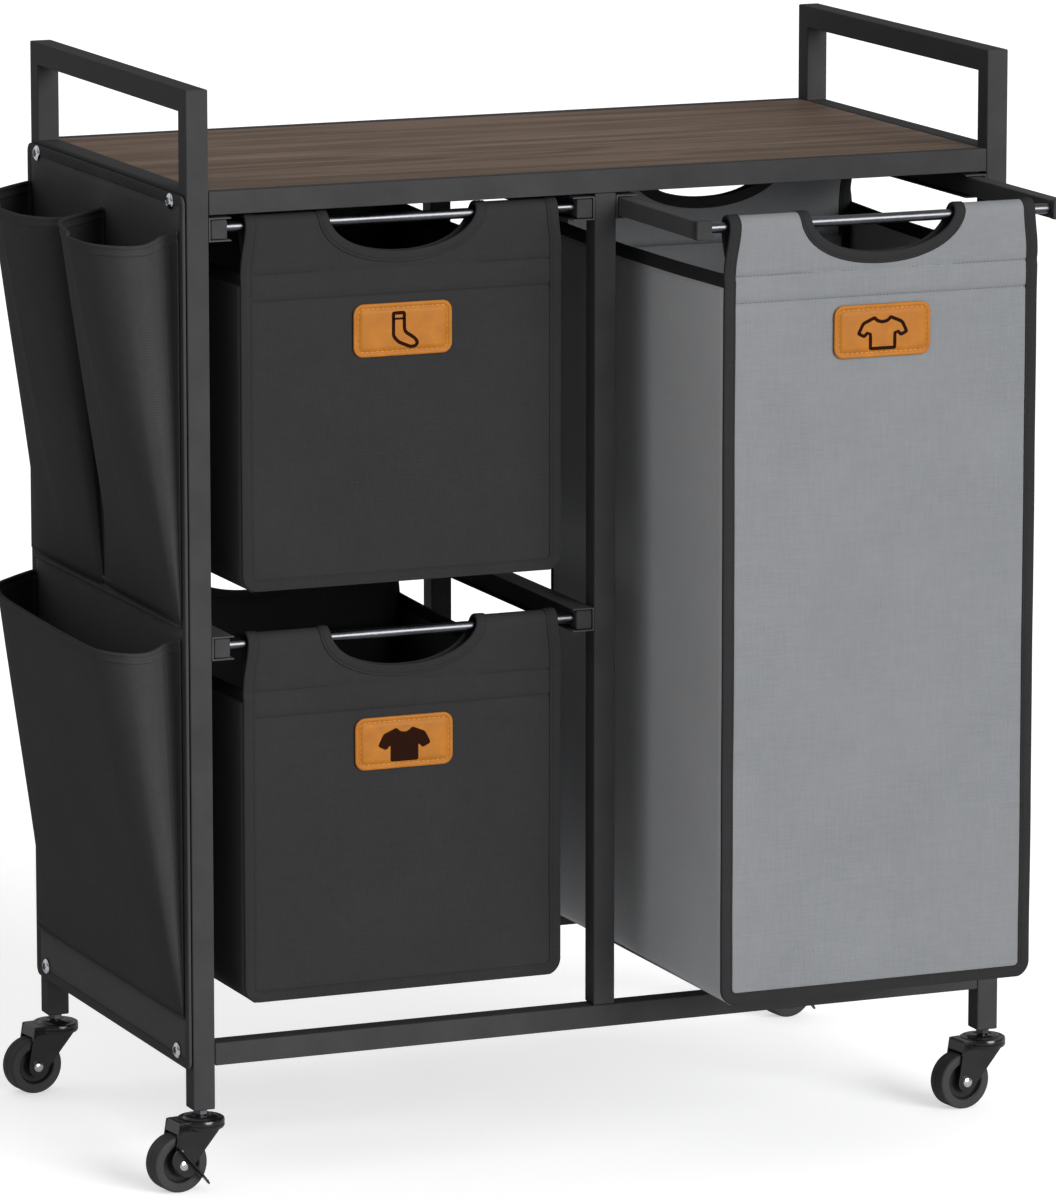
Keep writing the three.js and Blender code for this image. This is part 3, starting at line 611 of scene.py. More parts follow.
class Panel:
    """The front or back cloth of a bag, with the sleeve that loops over its rod.

    x is measured from the bag's middle, and s along the cloth: up the outside from the bottom, over the
    rod, and down the inside to the end of the hem. y starts at the carriage's front and z at the sleeve's
    top."""

    def __init__(self, panel_y, height, half, seed):
        self.half, self.seed, self.height = half, seed, height
        rod_z = -SLEEVE - CLOTH / 2
        inner = panel_y + 2.4
        points = [(panel_y, -height), (panel_y, -height / 2), (panel_y, -LEAN_FROM)]
        points += lean(points[-1], (ROD_IN - SLEEVE, rod_z))
        points += arc(ROD_IN, rod_z, SLEEVE, 180, 0, 24)[1:]
        points += lean(points[-1], (inner, -HEM_LINES[0]))
        points.append((inner, -HEM_LINES[1] - 4))
        self.track = Track(points)
        self.top_z = rod_z + SLEEVE
        heights = [z for _, z in points]
        self.apex = self.track.at_point[heights.index(max(heights))]
        self.plain = self.at_depth(PLAIN_FROM)
        self.plain_back = self.track.find(-PLAIN_FROM, self.apex, self.track.total)

    def at_depth(self, depth):
        """The length at which the outside run is this far below the sleeve's top."""
        return self.track.find(-depth, 0, self.apex)

    def width(self, s):
        """Half the cloth's width at s."""
        z = self.track.at(s)[1]
        if s > self.apex:
            return self.half - SHOULDER
        above = max(0.0, self.height + z)
        return self.half - SHOULDER * (1 - ease(-z, 6, 46)) - corner_inset(above)

    def point(self, x, s, lift=0.0):
        """A point of the cloth, with its hem's grooves and its wrinkles."""
        y, z, ny, nz = self.track.at(s)
        if s < self.apex:
            depth = -z
            for line in HEM_LINES:
                lift -= 1.3 * math.exp(-((depth - line) / 1.4) ** 2)
            lift += 0.6 * ease(depth, 53, 57) * (1 - ease(depth, 70, 75))
            loose = ease(depth, 80, 160) * ease(self.height - depth, 0, 60)
            lift += 0.9 * loose * ripple(x, depth, 85, self.seed)
            lift += 0.15 * ripple(x, depth * 0.6, 30, self.seed + 4)
        return (x, y + ny * lift, z + nz * lift)

    def grip(self, x):
        """How far below the sleeve's top the hand grip is cut at x."""
        rest = 1 - min(1.0, abs(x) / GRIP_HALF) ** GRIP_POWER
        return GRIP_DEEP * rest ** (1 / GRIP_POWER)

    def cut(self, x, back):
        """The length at which the grip cuts the cloth at x, on its outside or inside run."""
        z = self.top_z - self.grip(x)
        if z > self.top_z - 1e-3:
            return self.apex
        if back:
            return self.track.find(z, self.apex, self.track.total)
        return self.track.find(z, self.plain, self.apex)

    def net(self):
        """The cloth as one net that is open at the grip, with its rows closer where it bends."""
        front = [0, 0.6, 2.2, 4.8, 8.5, CORNER]
        count = max(8, round((self.plain - CORNER - 30) / 16))
        front += evenly(CORNER, self.plain - 32, count)[1:]
        depths = [78, 76.4, 75, 73.6, 72, 67, PLAIN_FROM, 54.5, 53.3, 52, 50.7, 49.5, 45, 40, 34, 28, 22]
        front += [self.at_depth(depth) for depth in depths + [16, 11]]
        front += evenly(front[-1], self.apex, 8)[1:]
        back = evenly(self.apex, self.plain_back, 18) + evenly(self.plain_back, self.track.total, 3)[1:]
        shapes = []
        for lengths, fixed, is_back in ((front, self.plain, False), (back, self.plain_back, True)):
            wing = []
            for i in range(8):
                wing.append([(GRIP_HALF + (self.width(s) - GRIP_HALF) * i / 7, s) for s in lengths])
            columns = [[(-x, s) for x, s in column] for column in reversed(wing)]
            for i in range(1, 24):
                x = GRIP_HALF * math.sin(math.pi / 2 * (i / 12 - 1))
                shrink = (self.cut(x, is_back) - fixed) / (self.apex - fixed)
                column = []
                for s in lengths:
                    beyond = (s - fixed) * (self.apex - fixed) > 0
                    column.append((x, fixed + (s - fixed) * shrink if beyond else s))
                columns.append(column)
            shapes.append(sheet([[self.point(x, s) for x, s in column] for column in columns + wing]))
        return merge(*shapes)

    def swept(self, path, width, cyclic):
        """Binding tape folded over an edge. The path lists (x, s), with the cloth on its right."""
        section = tape_section(width)
        rings = []
        for (x, s), (nx, ns) in zip(path, left_normals(path, cyclic)):
            rings.append([self.point(x - a * nx, s - a * ns, n) for a, n in section])
        return loft(rings, cyclic)

    def seam(self, path, inwards, lift, radius=0.4):
        """Stitches that follow a path on the cloth, set in from it."""
        points, normals = [], []
        for (x, s), (nx, ns) in zip(path, left_normals(path)):
            s -= inwards * ns
            points.append(self.point(x - inwards * nx, s, lift))
            normals.append((0, *self.track.at(s)[2:]))
        return stitches(points, normals, pitch=3.4, radius=radius)

    def edge(self):
        """Down one side, along the bottom and up the other side."""
        count = max(6, round((self.plain - CORNER) / 22))
        side = evenly(self.track.total, self.plain, 48) + evenly(self.plain, CORNER, count)[1:-1]
        right = [(self.width(s), s) for s in side]
        turn = arc(self.half - CORNER, CORNER, CORNER, 0, -90, 8)
        bottom = [(x, 0.0) for x in evenly(self.half - CORNER, CORNER - self.half, 16)[1:-1]]
        left = [(-x, s) for x, s in reversed(right + turn)]
        return right + turn + bottom + left

    def opening(self):
        """Round the hand grip: along its front edge and back along its inside edge."""
        xs = []
        for k in range(GRIP_STEPS + 1):
            cosine = math.cos(math.pi * (0.5 - 0.5 * math.cos(math.pi * k / GRIP_STEPS)))
            xs.append(-math.copysign(abs(cosine) ** (2 / GRIP_POWER), cosine) * GRIP_HALF)
        front, back = ([(x, self.cut(x, is_back)) for x in xs] for is_back in (False, True))
        return front + back[-2:0:-1]


def side_wall(side, depth, height, half, seed):
    """A side wall that sags inwards between the front and back panels. Returns its point function."""
    y0, y1 = depth

    def point(u, v, lift=0.0, down=0.0):
        sag = math.sin(math.pi * u)
        top = -WALL_TOP - 3.0 * sag
        z = -height + 1 + v * (top + height - 1) - down
        y = y0 + (y1 - y0) * u
        hollow = 5.0 * sag ** 0.8 * (0.3 + 0.7 * math.sin(math.pi * min(1.0, 0.12 + 0.8 * v)))
        folds = 1.3 * sag * ripple(y, z * 0.3, 95, seed) + 0.25 * sag * ripple(y, z, 40, seed + 3)
        x = half - 1.6 - hollow - folds - corner_inset(z + height) + lift
        return (side * x, y, z)

    return point


SHIRT = [
    (-5.5, 10), (-15, 6), (-19, -2), (-13, -5), (-10, -1.5), (-10, -13), (10, -13), (10, -1.5), (13, -5),
    (19, -2), (15, 6), (5.5, 10), (3.5, 7.6), (0, 6.6), (-3.5, 7.6),
]
SOCK = [(-8, 12), (2, 12), (2, -1), (9, -5.5), (11.5, -9), (10, -12.5), (5.5, -13.5), (-4, -9.5), (-8, -5)]
PRINT_SCALE = 1.3
PRINT_LINE = 2.3
PRINT_THICK = 0.25


def ink(kind, y):
    """A mark in place of a word, as thin raised print in front of y: a plain shirt, the outline of a shirt
    or the outline of a sock."""
    front = y - PRINT_THICK

    def ring(outline, at):
        return [(a * PRINT_SCALE, at, b * PRINT_SCALE) for a, b in outline]

    if kind == "shirt":
        outline = rounded(SHIRT, 1.5, 2)
        return loft([ring(outline, y), ring(outline, front)])
    outer = rounded(SHIRT if kind == "shirt_outline" else SOCK, 2.0, 3)
    line = -PRINT_LINE if kind == "sock" else PRINT_LINE  # only the sock is listed clockwise
    inner = [(a + nx * line, b + ny * line) for (a, b), (nx, ny) in zip(outer, left_normals(outer, True))]
    made = loft([ring(outer, y), ring(outer, front), ring(inner, front), ring(inner, y)], cyclic=True)
    if kind == "sock":
        made = merge(made, box((-9.5, 1.5), (front, y), (8.2, 10.0)))
    return made


def label(name, body, place, kind):
    half_width, half_height, corner = 45.5, 23.0, 9.0
    rings = []
    for shrink, y in (
        (0.5, 0.0), (0.0, -0.4), (0.0, -1.3), (0.4, -1.8), (1.2, -2.0), (3.0, -2.05), (3.6, -1.35),
        (5.0, -1.35), (5.6, -2.05), (9.0, -2.1),
    ):
        outline = rounded_box(half_width - shrink, half_height - shrink, max(1.0, corner - shrink))
        rings.append([(a, y, b) for a, b in outline])
    piece(f"{name}_label_patch", moved(loft(rings), place), body, LEATHER, [f"{name}_label"], smooth=60)
    line = rounded_box(half_width - 4.3, half_height - 4.3, corner - 4.3)
    line.append(line[0])
    points = [place(a, -1.5, b) for a, b in line]
    thread = stitches(points, (0, -1, 0), pitch=4.6, length=3.3, radius=0.75)
    sewing(f"{name}_label", [thread], body, TAN_THREAD)
    piece(f"{name}_label_print", moved(ink(kind, -2.0), place), body, PRINT)


def build_bag(name, cloths, kind, seed):
    """A bag with its label, and the bars, rods and channels that carry it."""
    front_cloth, side_cloth, floor_cloth = cloths
    body = f"{name}_carriage"
    (left, right), _, (bottom, top) = spans(f"{name}_bag")
    centre, half, height = (left + right) / 2, (right - left) / 2, top - bottom
    start, bar_end = spans(f"{name}_left_bar")[1]
    label_back = spans(f"{name}_label")[1][1] - start

    def front_place(x, y, z):
        return (centre + x, start + y, top + z)

    def back_place(x, y, z):
        return (centre - x, bar_end - y, top + z)

    depth = []
    for end, place, panel_y in (("front", front_place, label_back + 1.2), ("back", back_place, 10.0)):
        part = f"{name}_bag_{end}"
        panel = Panel(panel_y, height - 1.0, half - 0.9, seed + len(end))
        stands = [f"{name}_bag"] if end == "front" else ()
        cloth = moved(panel.net(), place)
        piece(part, cloth, body, front_cloth, stands, smooth=60, thick=CLOTH)
        edge, opening = panel.edge(), panel.opening()
        tape = moved(panel.swept(edge, TAPE_WIDTH, False), place)
        piece(part + "_binding", tape, body, TAPE, smooth=50)
        tape = moved(panel.swept(opening, GRIP_TAPE, True), place)
        piece(part + "_grip_binding", tape, body, TAPE, smooth=50)
        rows = [
            panel.seam(edge, TAPE_WIDTH - TAPE_SEAM, 1.2),
            panel.seam(opening[:GRIP_STEPS + 1], GRIP_TAPE - TAPE_SEAM, 1.2),
        ]
        for line in HEM_LINES:
            s = panel.at_depth(line)
            reach = panel.width(s) - TAPE_WIDTH
            rows.append(panel.seam([(x, s) for x in evenly(reach, -reach, 40)], 0, 0.7, radius=0.5))
        sewing(part, [moved(row, place) for row in rows], body)
        depth.append(panel_y + 0.9 if end == "front" else bar_end - start - panel_y - 0.9)

    for side, way in (("left", -1), ("right", 1)):
        part = f"{name}_bag_{side}"
        point = side_wall(way, depth, height, half, seed + 10 * way)
        levels = [rise / (height - WALL_TOP) for rise in (0.0, 0.5, 1.4, 2.8, 4.8, 7.5, CORNER)]
        levels += evenly(levels[-1], 1, 36)[1:]
        rows = [[front_place(*point(u, v)) for u in evenly(0, 1, 32)] for v in levels]
        piece(part + "_wall", sheet(rows), body, side_cloth, smooth=60, thick=CLOTH)
        section = both_faces([(-0.9, 0.6), (-0.4, 1.2), (0.4, 1.35), (10.2, 1.35), (10.8, 0.9)])
        rings = [[front_place(*point(u, 1.0, n, a)) for a, n in section] for u in evenly(0, 1, 32)]
        piece(part + "_binding", loft(rings), body, TAPE, smooth=50)
        line = [front_place(*point(u, 1.0, 1.3, 9.0)) for u in evenly(0, 1, 64)]
        sewing(part, [stitches(line, (way, 0, 0), pitch=3.4, length=2.3, radius=0.35)], body)

    def floor(u, v):
        x = (half - 1.8 - corner_inset(2.4)) * (2 * u - 1)
        y = depth[0] + (depth[1] - depth[0]) * v
        belly = math.sin(math.pi * u) * math.sin(math.pi * v)
        lift = 2.4 - 1.2 * belly + 1.2 * belly * ripple(x, y, 60, seed + 6)
        return front_place(x, y, -height + lift)

    rows = [[floor(u, v) for u in evenly(0, 1, 20)] for v in evenly(0, 1, 24)]
    piece(f"{name}_bag_floor", sheet(rows), body, floor_cloth, smooth=60, thick=CLOTH)

    label(name, body, lambda x, y, z: front_place(x, label_back + y, z - LABEL_DROP), kind)

    for side in ("left", "right"):
        bar = f"{name}_{side}_bar"
        xs, ys, zs = spans(bar)
        piece(bar + "_tube", box(xs, (ys[0] + 9, ys[1] - 9), zs), body, RAIL, [bar], bevel=1.2)
        for end, y in (("front", ys[0]), ("back", ys[1] - CAP_LENGTH)):
            cap = box((xs[0] - 0.3, xs[1] + 0.3), (y, y + CAP_LENGTH), (zs[0] - 0.3, zs[1] + 0.3))
            piece(f"{bar}_{end}_cap", cap, body, CAP_PLASTIC, bevel=1.4)
        channel(name, side)
    for end in ("front", "back"):
        rod(f"{name}_{end}_rod", body)


def turned(node, suffix, profile, segments, body, finish):
    """A body of revolution about the line along X through a CAD node's middle."""
    y, z = (sum(span) / 2 for span in spans(node)[1:])
    shape = moved(lathe(profile, "x", segments), lambda a, b, c: (a, y + b, z + c))
    piece(node + suffix, shape, body, finish, [node], smooth=40)


def rod(node, body):
    """A bright rod with small end chamfers."""
    (start, end), _, zs = spans(node)
    full = (zs[1] - zs[0]) / 2
    slim = full - 0.6
    profile = [(0, start), (slim, start), (full, start + 0.6), (full, end - 0.6), (slim, end), (0, end)]
    turned(node, "_bar", profile, 32, body, POLISHED)


def channel(name, side):
    """A rolled C-section with rounded bends, open towards the bag."""
    node = f"{name}_{side}_channel"
    xs, ys, (low, high) = spans(node)
    web, lip = xs if side == "left" else xs[::-1]
    within = web + math.copysign(CHANNEL_SHEET, lip - web)
    sill, roof = low + CHANNEL_SHEET, high - CHANNEL_SHEET
    outline = [
        (web, low), (lip, low), (lip, sill), (within, sill), (within, roof), (lip, roof), (lip, high),
        (web, high),
    ]
    shape = prism(rounded(outline, 0.55, 3), *ys, "y")
    piece(node + "_section", shape, "frame", RAIL, [node], smooth=30)


# The black bags' side walls take the copy of the black cloth painted lighter as fill light, and the grey
# bag's walls take its side copy painted lighter.
BLACK = (BLACK_XZ, INNER_YZ_PAINTED_FILL, BLACK_XY_PAINTED_LIGHT)
GREY = (GREY_XZ, GREY_YZ_PAINTED_LIGHT, GREY_XY_PAINTED_LIGHT)
build_bag("upper", BLACK, "sock", 3.0)
build_bag("lower", BLACK, "shirt", 17.0)
build_bag("tall", GREY, "shirt_outline", 29.0)


# ---- Organiser ----

PANEL_FACE = spans("organiser_panel")[0][0]
SOCKET = 3.2


def organiser_panel():
    """The cloth on the frame's left end, with tape round its edge."""
    xs, (low_y, high_y), (low_z, high_z) = spans("organiser_panel")
    face = sum(xs) / 2
    rows = []
    for z in evenly(low_z + 2.5, high_z - 2.5, 48):
        line = evenly(low_y + 2.5, high_y - 2.5, 26)
        rows.append([(face + 0.35 * ripple(y, z, 60, 2.0), y, z) for y in line])
    piece("organiser_cloth", sheet(rows), "frame", PANEL_YZ_PAINTED_LIGHT, ["organiser_panel"], smooth=60, thick=1.6)

    corners = rounded_box((high_y - low_y) / 2 - 0.3, (high_z - low_z) / 2 - 0.3, 8.0, 8)
    outline = [((low_y + high_y) / 2 + a, (low_z + high_z) / 2 + b) for a, b in corners]
    dense = []
    for a, b in zip(outline, outline[1:] + outline[:1]):
        count = max(1, round(math.dist(a, b) / 25))
        dense += zip(evenly(a[0], b[0], count)[:-1], evenly(a[1], b[1], count)[:-1])
    frames = list(zip(dense, left_normals(dense, cyclic=True)))

    def round_edge(inwards, lift):
        """A line all round the panel, inwards from its edge and out from its cloth."""
        return [(face - lift, y + ny * inwards, z + nz * inwards) for (y, z), (ny, nz) in frames]

    section = both_faces([(0.0, 0.7), (0.5, 1.3), (1.2, 1.45), (8.5, 1.45), (9.0, 1.0)])
    rings = list(zip(*[round_edge(a, n) for a, n in section]))
    piece("organiser_binding", loft(rings, cyclic=True), "frame", TAPE_YZ_PAINTED_LIGHT, smooth=50)
    line = round_edge(7.2, 1.45)
    thread = stitches(line + line[:1], (-1, 0, 0), pitch=3.6, length=2.4, radius=0.35)
    sewing("organiser_binding", [thread])


class Pocket:
    """A pocket sewn to the panel along its foot and both sides, with its rim standing open. seed picks
    its wrinkles, and rise is how far its rim climbs where it meets the panel at the front."""

    def __init__(self, node, seed, rise):
        self.node, self.seed, self.rise = node, seed, rise
        (low_x, self.face), (front_y, back_y), (self.foot, self.top) = spans(node)
        self.out, self.back_y, self.front_y = self.face - low_x - 1.0, back_y, front_y
        rim = [
            (0, back_y), (0.08, back_y - 2), (0.4, back_y - 20), (0.68, back_y - 38), (0.82, back_y - 62),
            (0.92, back_y - 100), (0.975, (back_y + front_y) / 2 - 17), (0.989, front_y + 66),
            (0.92, front_y + 30), (0.7, front_y + 8), (0.44, front_y + 4), (0.24, front_y + 12),
            (0.12, front_y + 18), (0.05, front_y + 14), (0.02, front_y + 7), (0, front_y),
        ]
        self.rim = catmull([(share * self.out, y) for share, y in rim], 7)
        self.normals = left_normals(self.rim)
        self.count = len(self.rim)

    def point(self, i, z, lift=0.0):
        """A point of the cloth: i counts along the rim, and lift moves it outwards."""
        reach, y = self.rim[i]
        nx, ny = self.normals[i]
        t = i / (self.count - 1)
        v = (z - self.foot) / (self.top - self.foot)
        wedge = 0.04 + 0.96 * (v + 0.05 * math.sin(math.pi * v))
        free = math.sin(math.pi * t)
        along = i * 5.2
        swell = free * math.sin(math.pi * v) * 1.6 * ripple(along, z * 0.4, 90, self.seed)
        swell += free * v * (1 - v) * 3.0 * ripple(along * 1.3, z * 0.12, 60, self.seed + 5)
        sag = (self.rise * ease(t, 0.64, 0.84) - 7.0 * math.sin(math.pi * t ** 1.6)) * v ** 3
        tuck = (1 - v) * (1 - ease(reach / self.out, 0.3, 0.6))
        if i > self.count / 2:
            y = self.front_y + (y - self.front_y) * (1 - tuck)
        push = lift + swell
        return (self.face - reach * wedge - nx * push - 0.9, y + ny * push, z + sag)

    def build(self):
        rows = [[self.point(i, z) for i in range(self.count)] for z in evenly(self.foot, self.top, 40)]
        # The pockets use the black cloth's side copy, painted lighter for the dim light on the frame's
        # side.
        piece(f"{self.node}_cloth", sheet(rows), "frame", BLACK_YZ_PAINTED_LIGHT, [self.node], smooth=60, thick=1.5)
        section = both_faces([
            (-1.1, 0.5), (-0.9, 1.2), (-0.3, 1.8), (0.6, 2.0), (1.5, 1.8), (2.1, 1.2), (2.9, 1.05),
            (6.4, 1.15), (7.2, 1.5), (8.4, 1.5), (9.0, 0.8),
        ])
        rings = [[self.point(i, self.top - a, n) for a, n in section] for i in range(self.count)]
        piece(f"{self.node}_hem", loft(rings), "frame", BLACK_YZ_PAINTED_LIGHT, smooth=50)
        line = [self.point(i, self.top - 6.6, 1.0) for i in range(self.count)]
        normals = [(b[1] - a[1], a[0] - b[0], 0) for a, b in zip(line, line[1:])]
        sewing(self.node, [stitches(line, normals), self.flange()])

    def flange(self):
        """The strip by which the pocket's back edge is sewn to the panel. Returns its stitches."""
        y = self.back_y
        strip = box((self.face - 1.3, self.face), (y - 1.0, y + 6.0), (self.foot, self.top))
        piece(f"{self.node}_flange", strip, "frame", TAPE_YZ_PAINTED_LIGHT, bevel=0.5, steps=2)
        heights = evenly(self.foot, self.top, 20)
        return stitches([(self.face - 1.2, y + 3.0, z) for z in heights], (-1, 0, 0))


def seam_band(name, ys, zs):
    """A sewn band across the foot of the pockets: a flat tape between two corded edges."""
    face = PANEL_FACE
    low, high = zs
    outline = [(face, low), *arc(face - 1.6, low + 2.2, 2.2, 250, 100)]
    outline += [*arc(face - 1.6, high - 2.2, 2.2, 260, 110), (face, high)]
    start, end = ys[0] + 12, ys[1] - 12
    rings = []
    for y, rise in ((ys[0], 0.35), (start, 1.0), (end, 1.0), (ys[1], 0.35)):
        rings.append([(face + (x - face) * rise, y, z) for x, z in outline])
    piece(name, loft(rings), "frame", TAPE_YZ_PAINTED_LIGHT, smooth=50)
    rows = []
    for z in (low + 5.0, high - 5.0):
        line = [(face - 2.2, y, z) for y in evenly(start, end, 30)]
        rows.append(stitches(line, (-1, 0, 0)))
    sewing(name, rows)


def organiser_screw(node):
    """A domed screw with a hexagonal socket."""
    (head, _), ys, _ = spans(node)
    seat = PANEL_FACE - 0.3
    radius = (ys[1] - ys[0]) / 2
    profile = [(0, seat + 10), (2.2, seat + 10), (2.2, seat)]
    for k in range(9):
        angle = math.pi / 24 * k
        profile.append((radius * math.cos(angle), seat - (seat - head) * math.sin(angle)))
    flat = profile[-1][1]
    profile += [(SOCKET + 0.3, flat - 0.3, HEXAGON), (SOCKET, flat, HEXAGON), (SOCKET, head + 3.0, HEXAGON)]
    turned(node, "_bolt", [*profile, (0, head + 3.4)], 48, "frame", CHROME)


organiser_panel()
Pocket("upper_back_pocket", 41.0, 0.0).build()
Pocket("upper_front_pocket", 53.0, 4.0).build()
Pocket("lower_pocket", 67.0, 3.0).build()
seam_band("upper_pocket_seam", (-189, 189), (493, 508))
seam_band("lower_pocket_seam", (-188, 189), (150, 162))
for number in range(1, 5):
    organiser_screw(f"organiser_screw_{number}")


# ---- Casters ----

HEADING = math.radians(187)  # the way that the casters trail at rest
PEDAL_SLOPE = math.radians(230)
TRAIL = 24.0
AXLE_Z = 25.4
FORK_OUT = 13.2
LEG_END = 9.0


def caster(corner, braked):
    """A swivel caster under a post."""
    stem_x, stem_y, _ = spans(f"{corner}_caster_stem")
    post = (sum(stem_x) / 2, sum(stem_y) / 2)
    cosine, sine = math.cos(HEADING), math.sin(HEADING)

    def place(x, y, z):
        """From the caster's own frame: x the way that it trails, y along its axle, z above the floor."""
        return (post[0] + x * cosine - y * sine, post[1] + x * sine + y * cosine, z)

    def on_axle(x, y, z):
        return place(x + TRAIL, y, z + AXLE_Z)

    def part(name, shape, body, finish, *nodes, where=place, **look):
        """One piece of this caster, with the CAD nodes that it stands for."""
        stands_for = [f"{corner}_caster_{node}" for node in nodes]
        piece(f"{corner}_caster_{name}", moved(shape, where), body, finish, stands_for, **look)

    swivel, wheel = f"{corner}_swivel", f"{corner}_wheel"
    cup = [
        (4.5, 54.2), (18.6, 54.0), (20.0, 54.4), (20.8, 55.6), (20.8, 57.4), (20.2, 57.9), (20.2, 58.5),
        (20.8, 59.0), (20.8, 61.2), (20.3, 62.4), (19.2, 63.0), (17.6, 62.9), (16.9, 62.3), (15.9, 62.5),
        (14.6, 63.9), (13.0, 64.7), (8.6, 64.8), (8.0, 64.2), (4.5, 64.2),
    ]
    part("cup", lathe(cup, "z", 56, cyclic=True), swivel, PLASTIC, smooth=35)
    knee = Vector((27.0, 62.2))
    slope = (Vector((TRAIL + LEG_END, AXLE_Z)) - knee).normalized()
    leg = [(-13.5, 55.0), (-13.5, 61.5), knee, knee + slope * 3]
    leg += arc(TRAIL, AXLE_Z, LEG_END, 10, -138, 18)
    legs = []
    for way in (-1, 1):
        y = way * FORK_OUT
        legs.append(prism(leg, *sorted((y, y - way * 2.1)), "y"))
        boss = [(0, y - way * 0.5), (6.6, y - way * 0.5), (6.6, y + way * 0.2), (6.1, y + way * 0.3),
                (0, y + way * 0.3)]
        if not (braked and way == 1):
            legs.append(moved(lathe(boss, "y", 32), lambda x, y, z: (x + TRAIL, y, z + AXLE_Z)))
    shell = [(4.8, 54), (4.8, 62.4), (26.6, 62.4), (28.6, 51.8), (25.6, 51.8), (25, 54)]
    hood = prism(rounded(shell, 2.2, 4), -FORK_OUT, FORK_OUT, "y")
    part("legs", merge(*legs), swivel, PLASTIC, bevel=0.6)
    part("hood", hood, swivel, PLASTIC, "fork", bevel=1.2, steps=4)

    reach = 15.2 if braked else 13.5
    pin = [(0, -15.1), (1.6, -15.1), (3.2, -14.8), (4.3, -14.2), (4.6, -13.5), (3.0, -13.5), (3.0, reach),
           (4.6, reach), (4.3, reach + 0.7), (3.2, reach + 1.3), (1.6, reach + 1.6), (0, reach + 1.6)]
    part("pin", lathe(pin, "y", 32), swivel, CHROME, "axle", where=on_axle)

    tread = [
        (17.2, 8.2), (17.2, 9.6), (17.6, 10.0), (23.3, 10.0), (24.3, 9.7), (25.0, 9.0), (25.3, 8.2),
        (25.4, 7.2), (25.4, 1.1), (25.1, 0.7),
    ]
    tyre = lathe(both_faces(tread), "y", 72, cyclic=True)
    part("tread", tyre, wheel, TYRE, "wheel", where=on_axle, smooth=35)
    hub = [
        (3.4, 6.6), (3.9, 7.0), (6.2, 7.0), (6.6, 6.6), (6.9, 5.2), (8.6, 5.0), (9.0, 5.6), (10.2, 5.6),
        (10.6, 5.0), (15.0, 5.0), (15.8, 5.6), (16.4, 7.2), (16.7, 9.0), (17.4, 9.2),
    ]
    part("hub", lathe(both_faces(hub), "y", 72, cyclic=True), wheel, HUB, where=on_axle, smooth=35)

    collar = [
        (0, 65.2), (5.7 * FLATS, 65.2, HEXAGON), (6.4 * FLATS, 65.9, HEXAGON),
        (6.4 * FLATS, 69.4, HEXAGON), (5.7 * FLATS, 70.2, HEXAGON), (0, 70.2),
    ]
    shaft = [(0, 51.2), (6.6, 51.2), (7.0, 51.6), (7.0, 53.7), (4.0, 53.7), (4.0, 66.0), (0, 66.0)]
    post_pin = [(0, 70.0), (4.0, 70.0), (4.0, 91.4), (3.4, 92.0), (0, 92.0)]
    bolt = merge(lathe(collar, "z", 36), lathe(shaft, "z", 32), lathe(post_pin, "z", 24))
    part("bolt", bolt, "frame", POLISHED, "stem", smooth=30)

    if braked:
        brake(corner, on_axle)


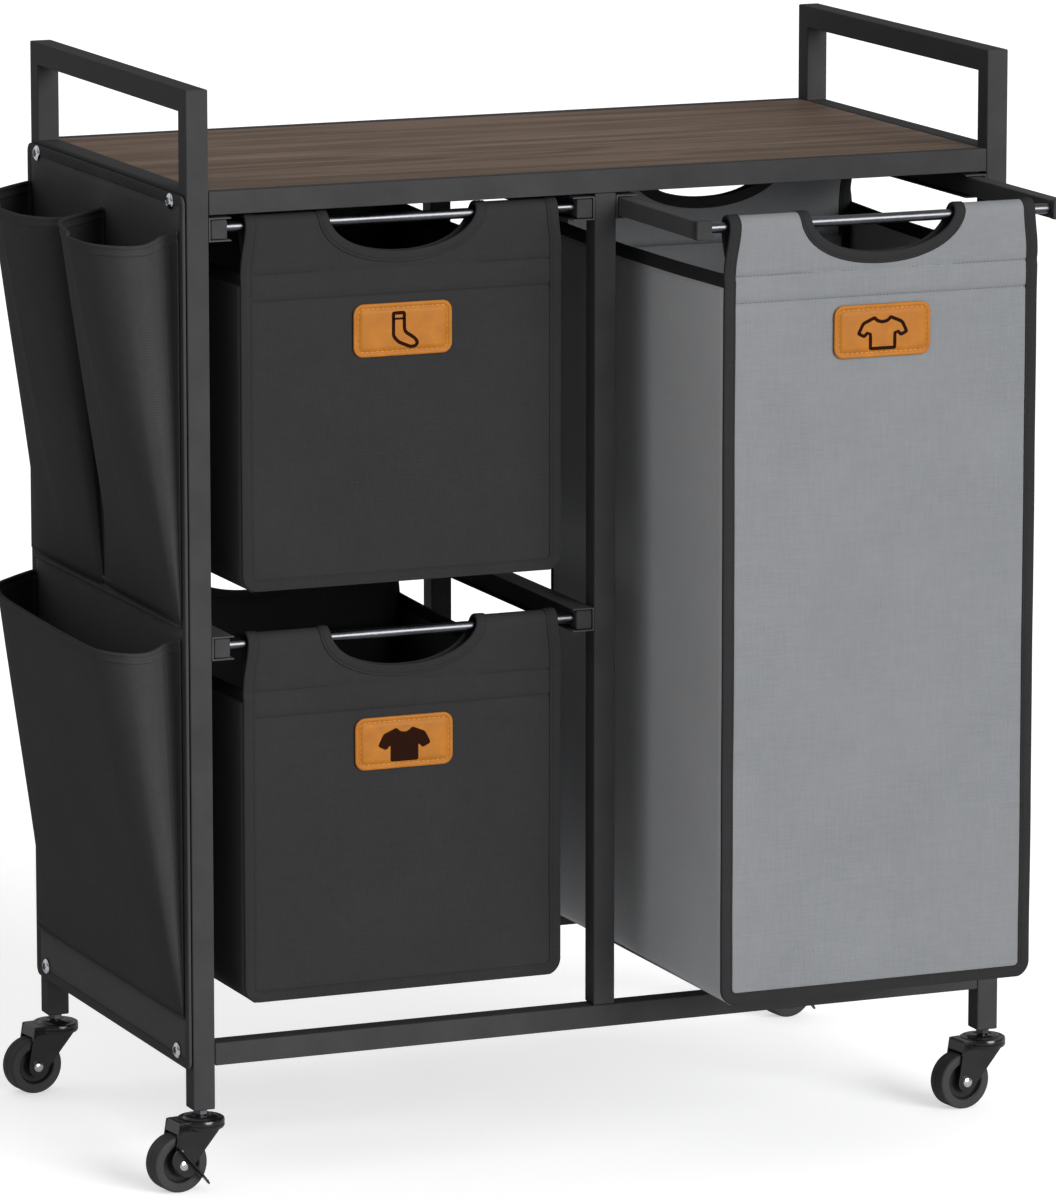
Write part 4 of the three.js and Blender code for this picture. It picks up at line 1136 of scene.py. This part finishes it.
def brake(corner, on_axle):
    """A stamped rocker: a cheek plate on the axle and a narrow pedal bent over along its edge."""
    cosine, sine = math.cos(PEDAL_SLOPE), math.sin(PEDAL_SLOPE)

    def place(x, y, z):
        return on_axle(x * cosine - z * sine, y, x * sine + z * cosine)

    cheek = rounded([(-15, -7), (13, -7), (13, 3), (6, 8), (-9, 8), (-15, 2)], 4.5, 5)
    plate = prism(cheek, 13.5, 15.1, "y")
    blade = [(-19, 13.5), (30, 13.5), (30, 17.0), (18, 20.6), (4, 21.5), (-15, 21.5), (-19, 18)]
    pedal = prism(rounded(blade, 2.5, 4), -7.0, -5.4, "z")
    ribs = []
    for x in (14.0, 18.0, 22.0, 26.0):
        ribs.append(box((x - 0.7, x + 0.7), (14.6, 19.2 - (x - 14) * 0.15), (-7.5, -6.8)))
    body, rocker = f"{corner}_brake", moved(merge(plate, pedal), place)
    piece(body + "_rocker", rocker, body, GLOSS_STEEL, [body + "_lever"], bevel=0.5)
    piece(body + "_tread", moved(merge(*ribs), place), body, GLOSS_STEEL, bevel=0.3, steps=2)


for corner in ("front_left", "front_right", "back_left", "back_right"):
    caster(corner, corner in ("front_left", "back_right"))


# ---- Floor, light and camera, in metres ----

floor_mesh = bpy.data.meshes.new("floor")
floor_mesh.from_pydata([(-40, -40, 0), (40, -40, 0), (40, 40, 0), (-40, 40, 0)], [], [(0, 1, 2, 3)])
floor = put("floor", floor_mesh)
paper = Finish("pale_floor", "", Roughness=0.9, Specular_IOR_Level=0.1)
tone = paper.ramp(paper.noise(60, detail=4), (0.3, "#dadada"), (0.7, "#dcdcdc"))
paper.set(paper.shader.inputs["Base Color"], tone)
paper.shader.inputs["Emission Color"].default_value = (1, 1, 1, 1)
paper.set(paper.shader.inputs["Emission Strength"], paper.by_ray(0.1, 0.52))
floor_mesh.materials.append(paper.material)

# The studio is dim at the horizon and bright overhead, and plain white behind the object.
world = bpy.data.worlds.new("studio")
bpy.context.scene.world = world
sky = Nodes(world)
fill = sky.tree.nodes["Background"].inputs
fill["Color"].default_value = (1, 1, 1, 1)
height = sky.node("SeparateXYZ", {0: sky.node("TexCoord").outputs["Generated"]}).outputs["Z"]
sky.set(fill["Strength"], sky.by_ray(sky.range(height, 0.0, 1.0, 0.17, 0.7), 0.97))


def sun(name, energy, location, spread):
    """Light from one direction, softened over an angle in degrees."""
    data = bpy.data.lights.new(name, "SUN")
    data.energy, data.angle = energy, math.radians(spread)
    made = put(name, data)
    made.location = location
    made.rotation_euler = (Vector((0, 0, 0.4)) - Vector(location)).to_track_quat("-Z", "Y").to_euler()


sun("key", 3.9, (1.6, -4.4, 1.75), 35)
sun("back_fill", 0.5, (-2.6, 3.4, 1.0), 70)

camera_data = bpy.data.cameras.new("camera")
camera_data.lens = 235.8
camera_data.sensor_width = 36
camera_data.clip_end = 200
camera = put("camera", camera_data)
camera.location = (-2.63741, -6.29861, 1.76255)
camera.rotation_euler = (math.radians(79.305), 0, math.radians(-22.82))
bpy.context.scene.camera = camera
bpy.context.scene.view_settings.view_transform = "Standard"
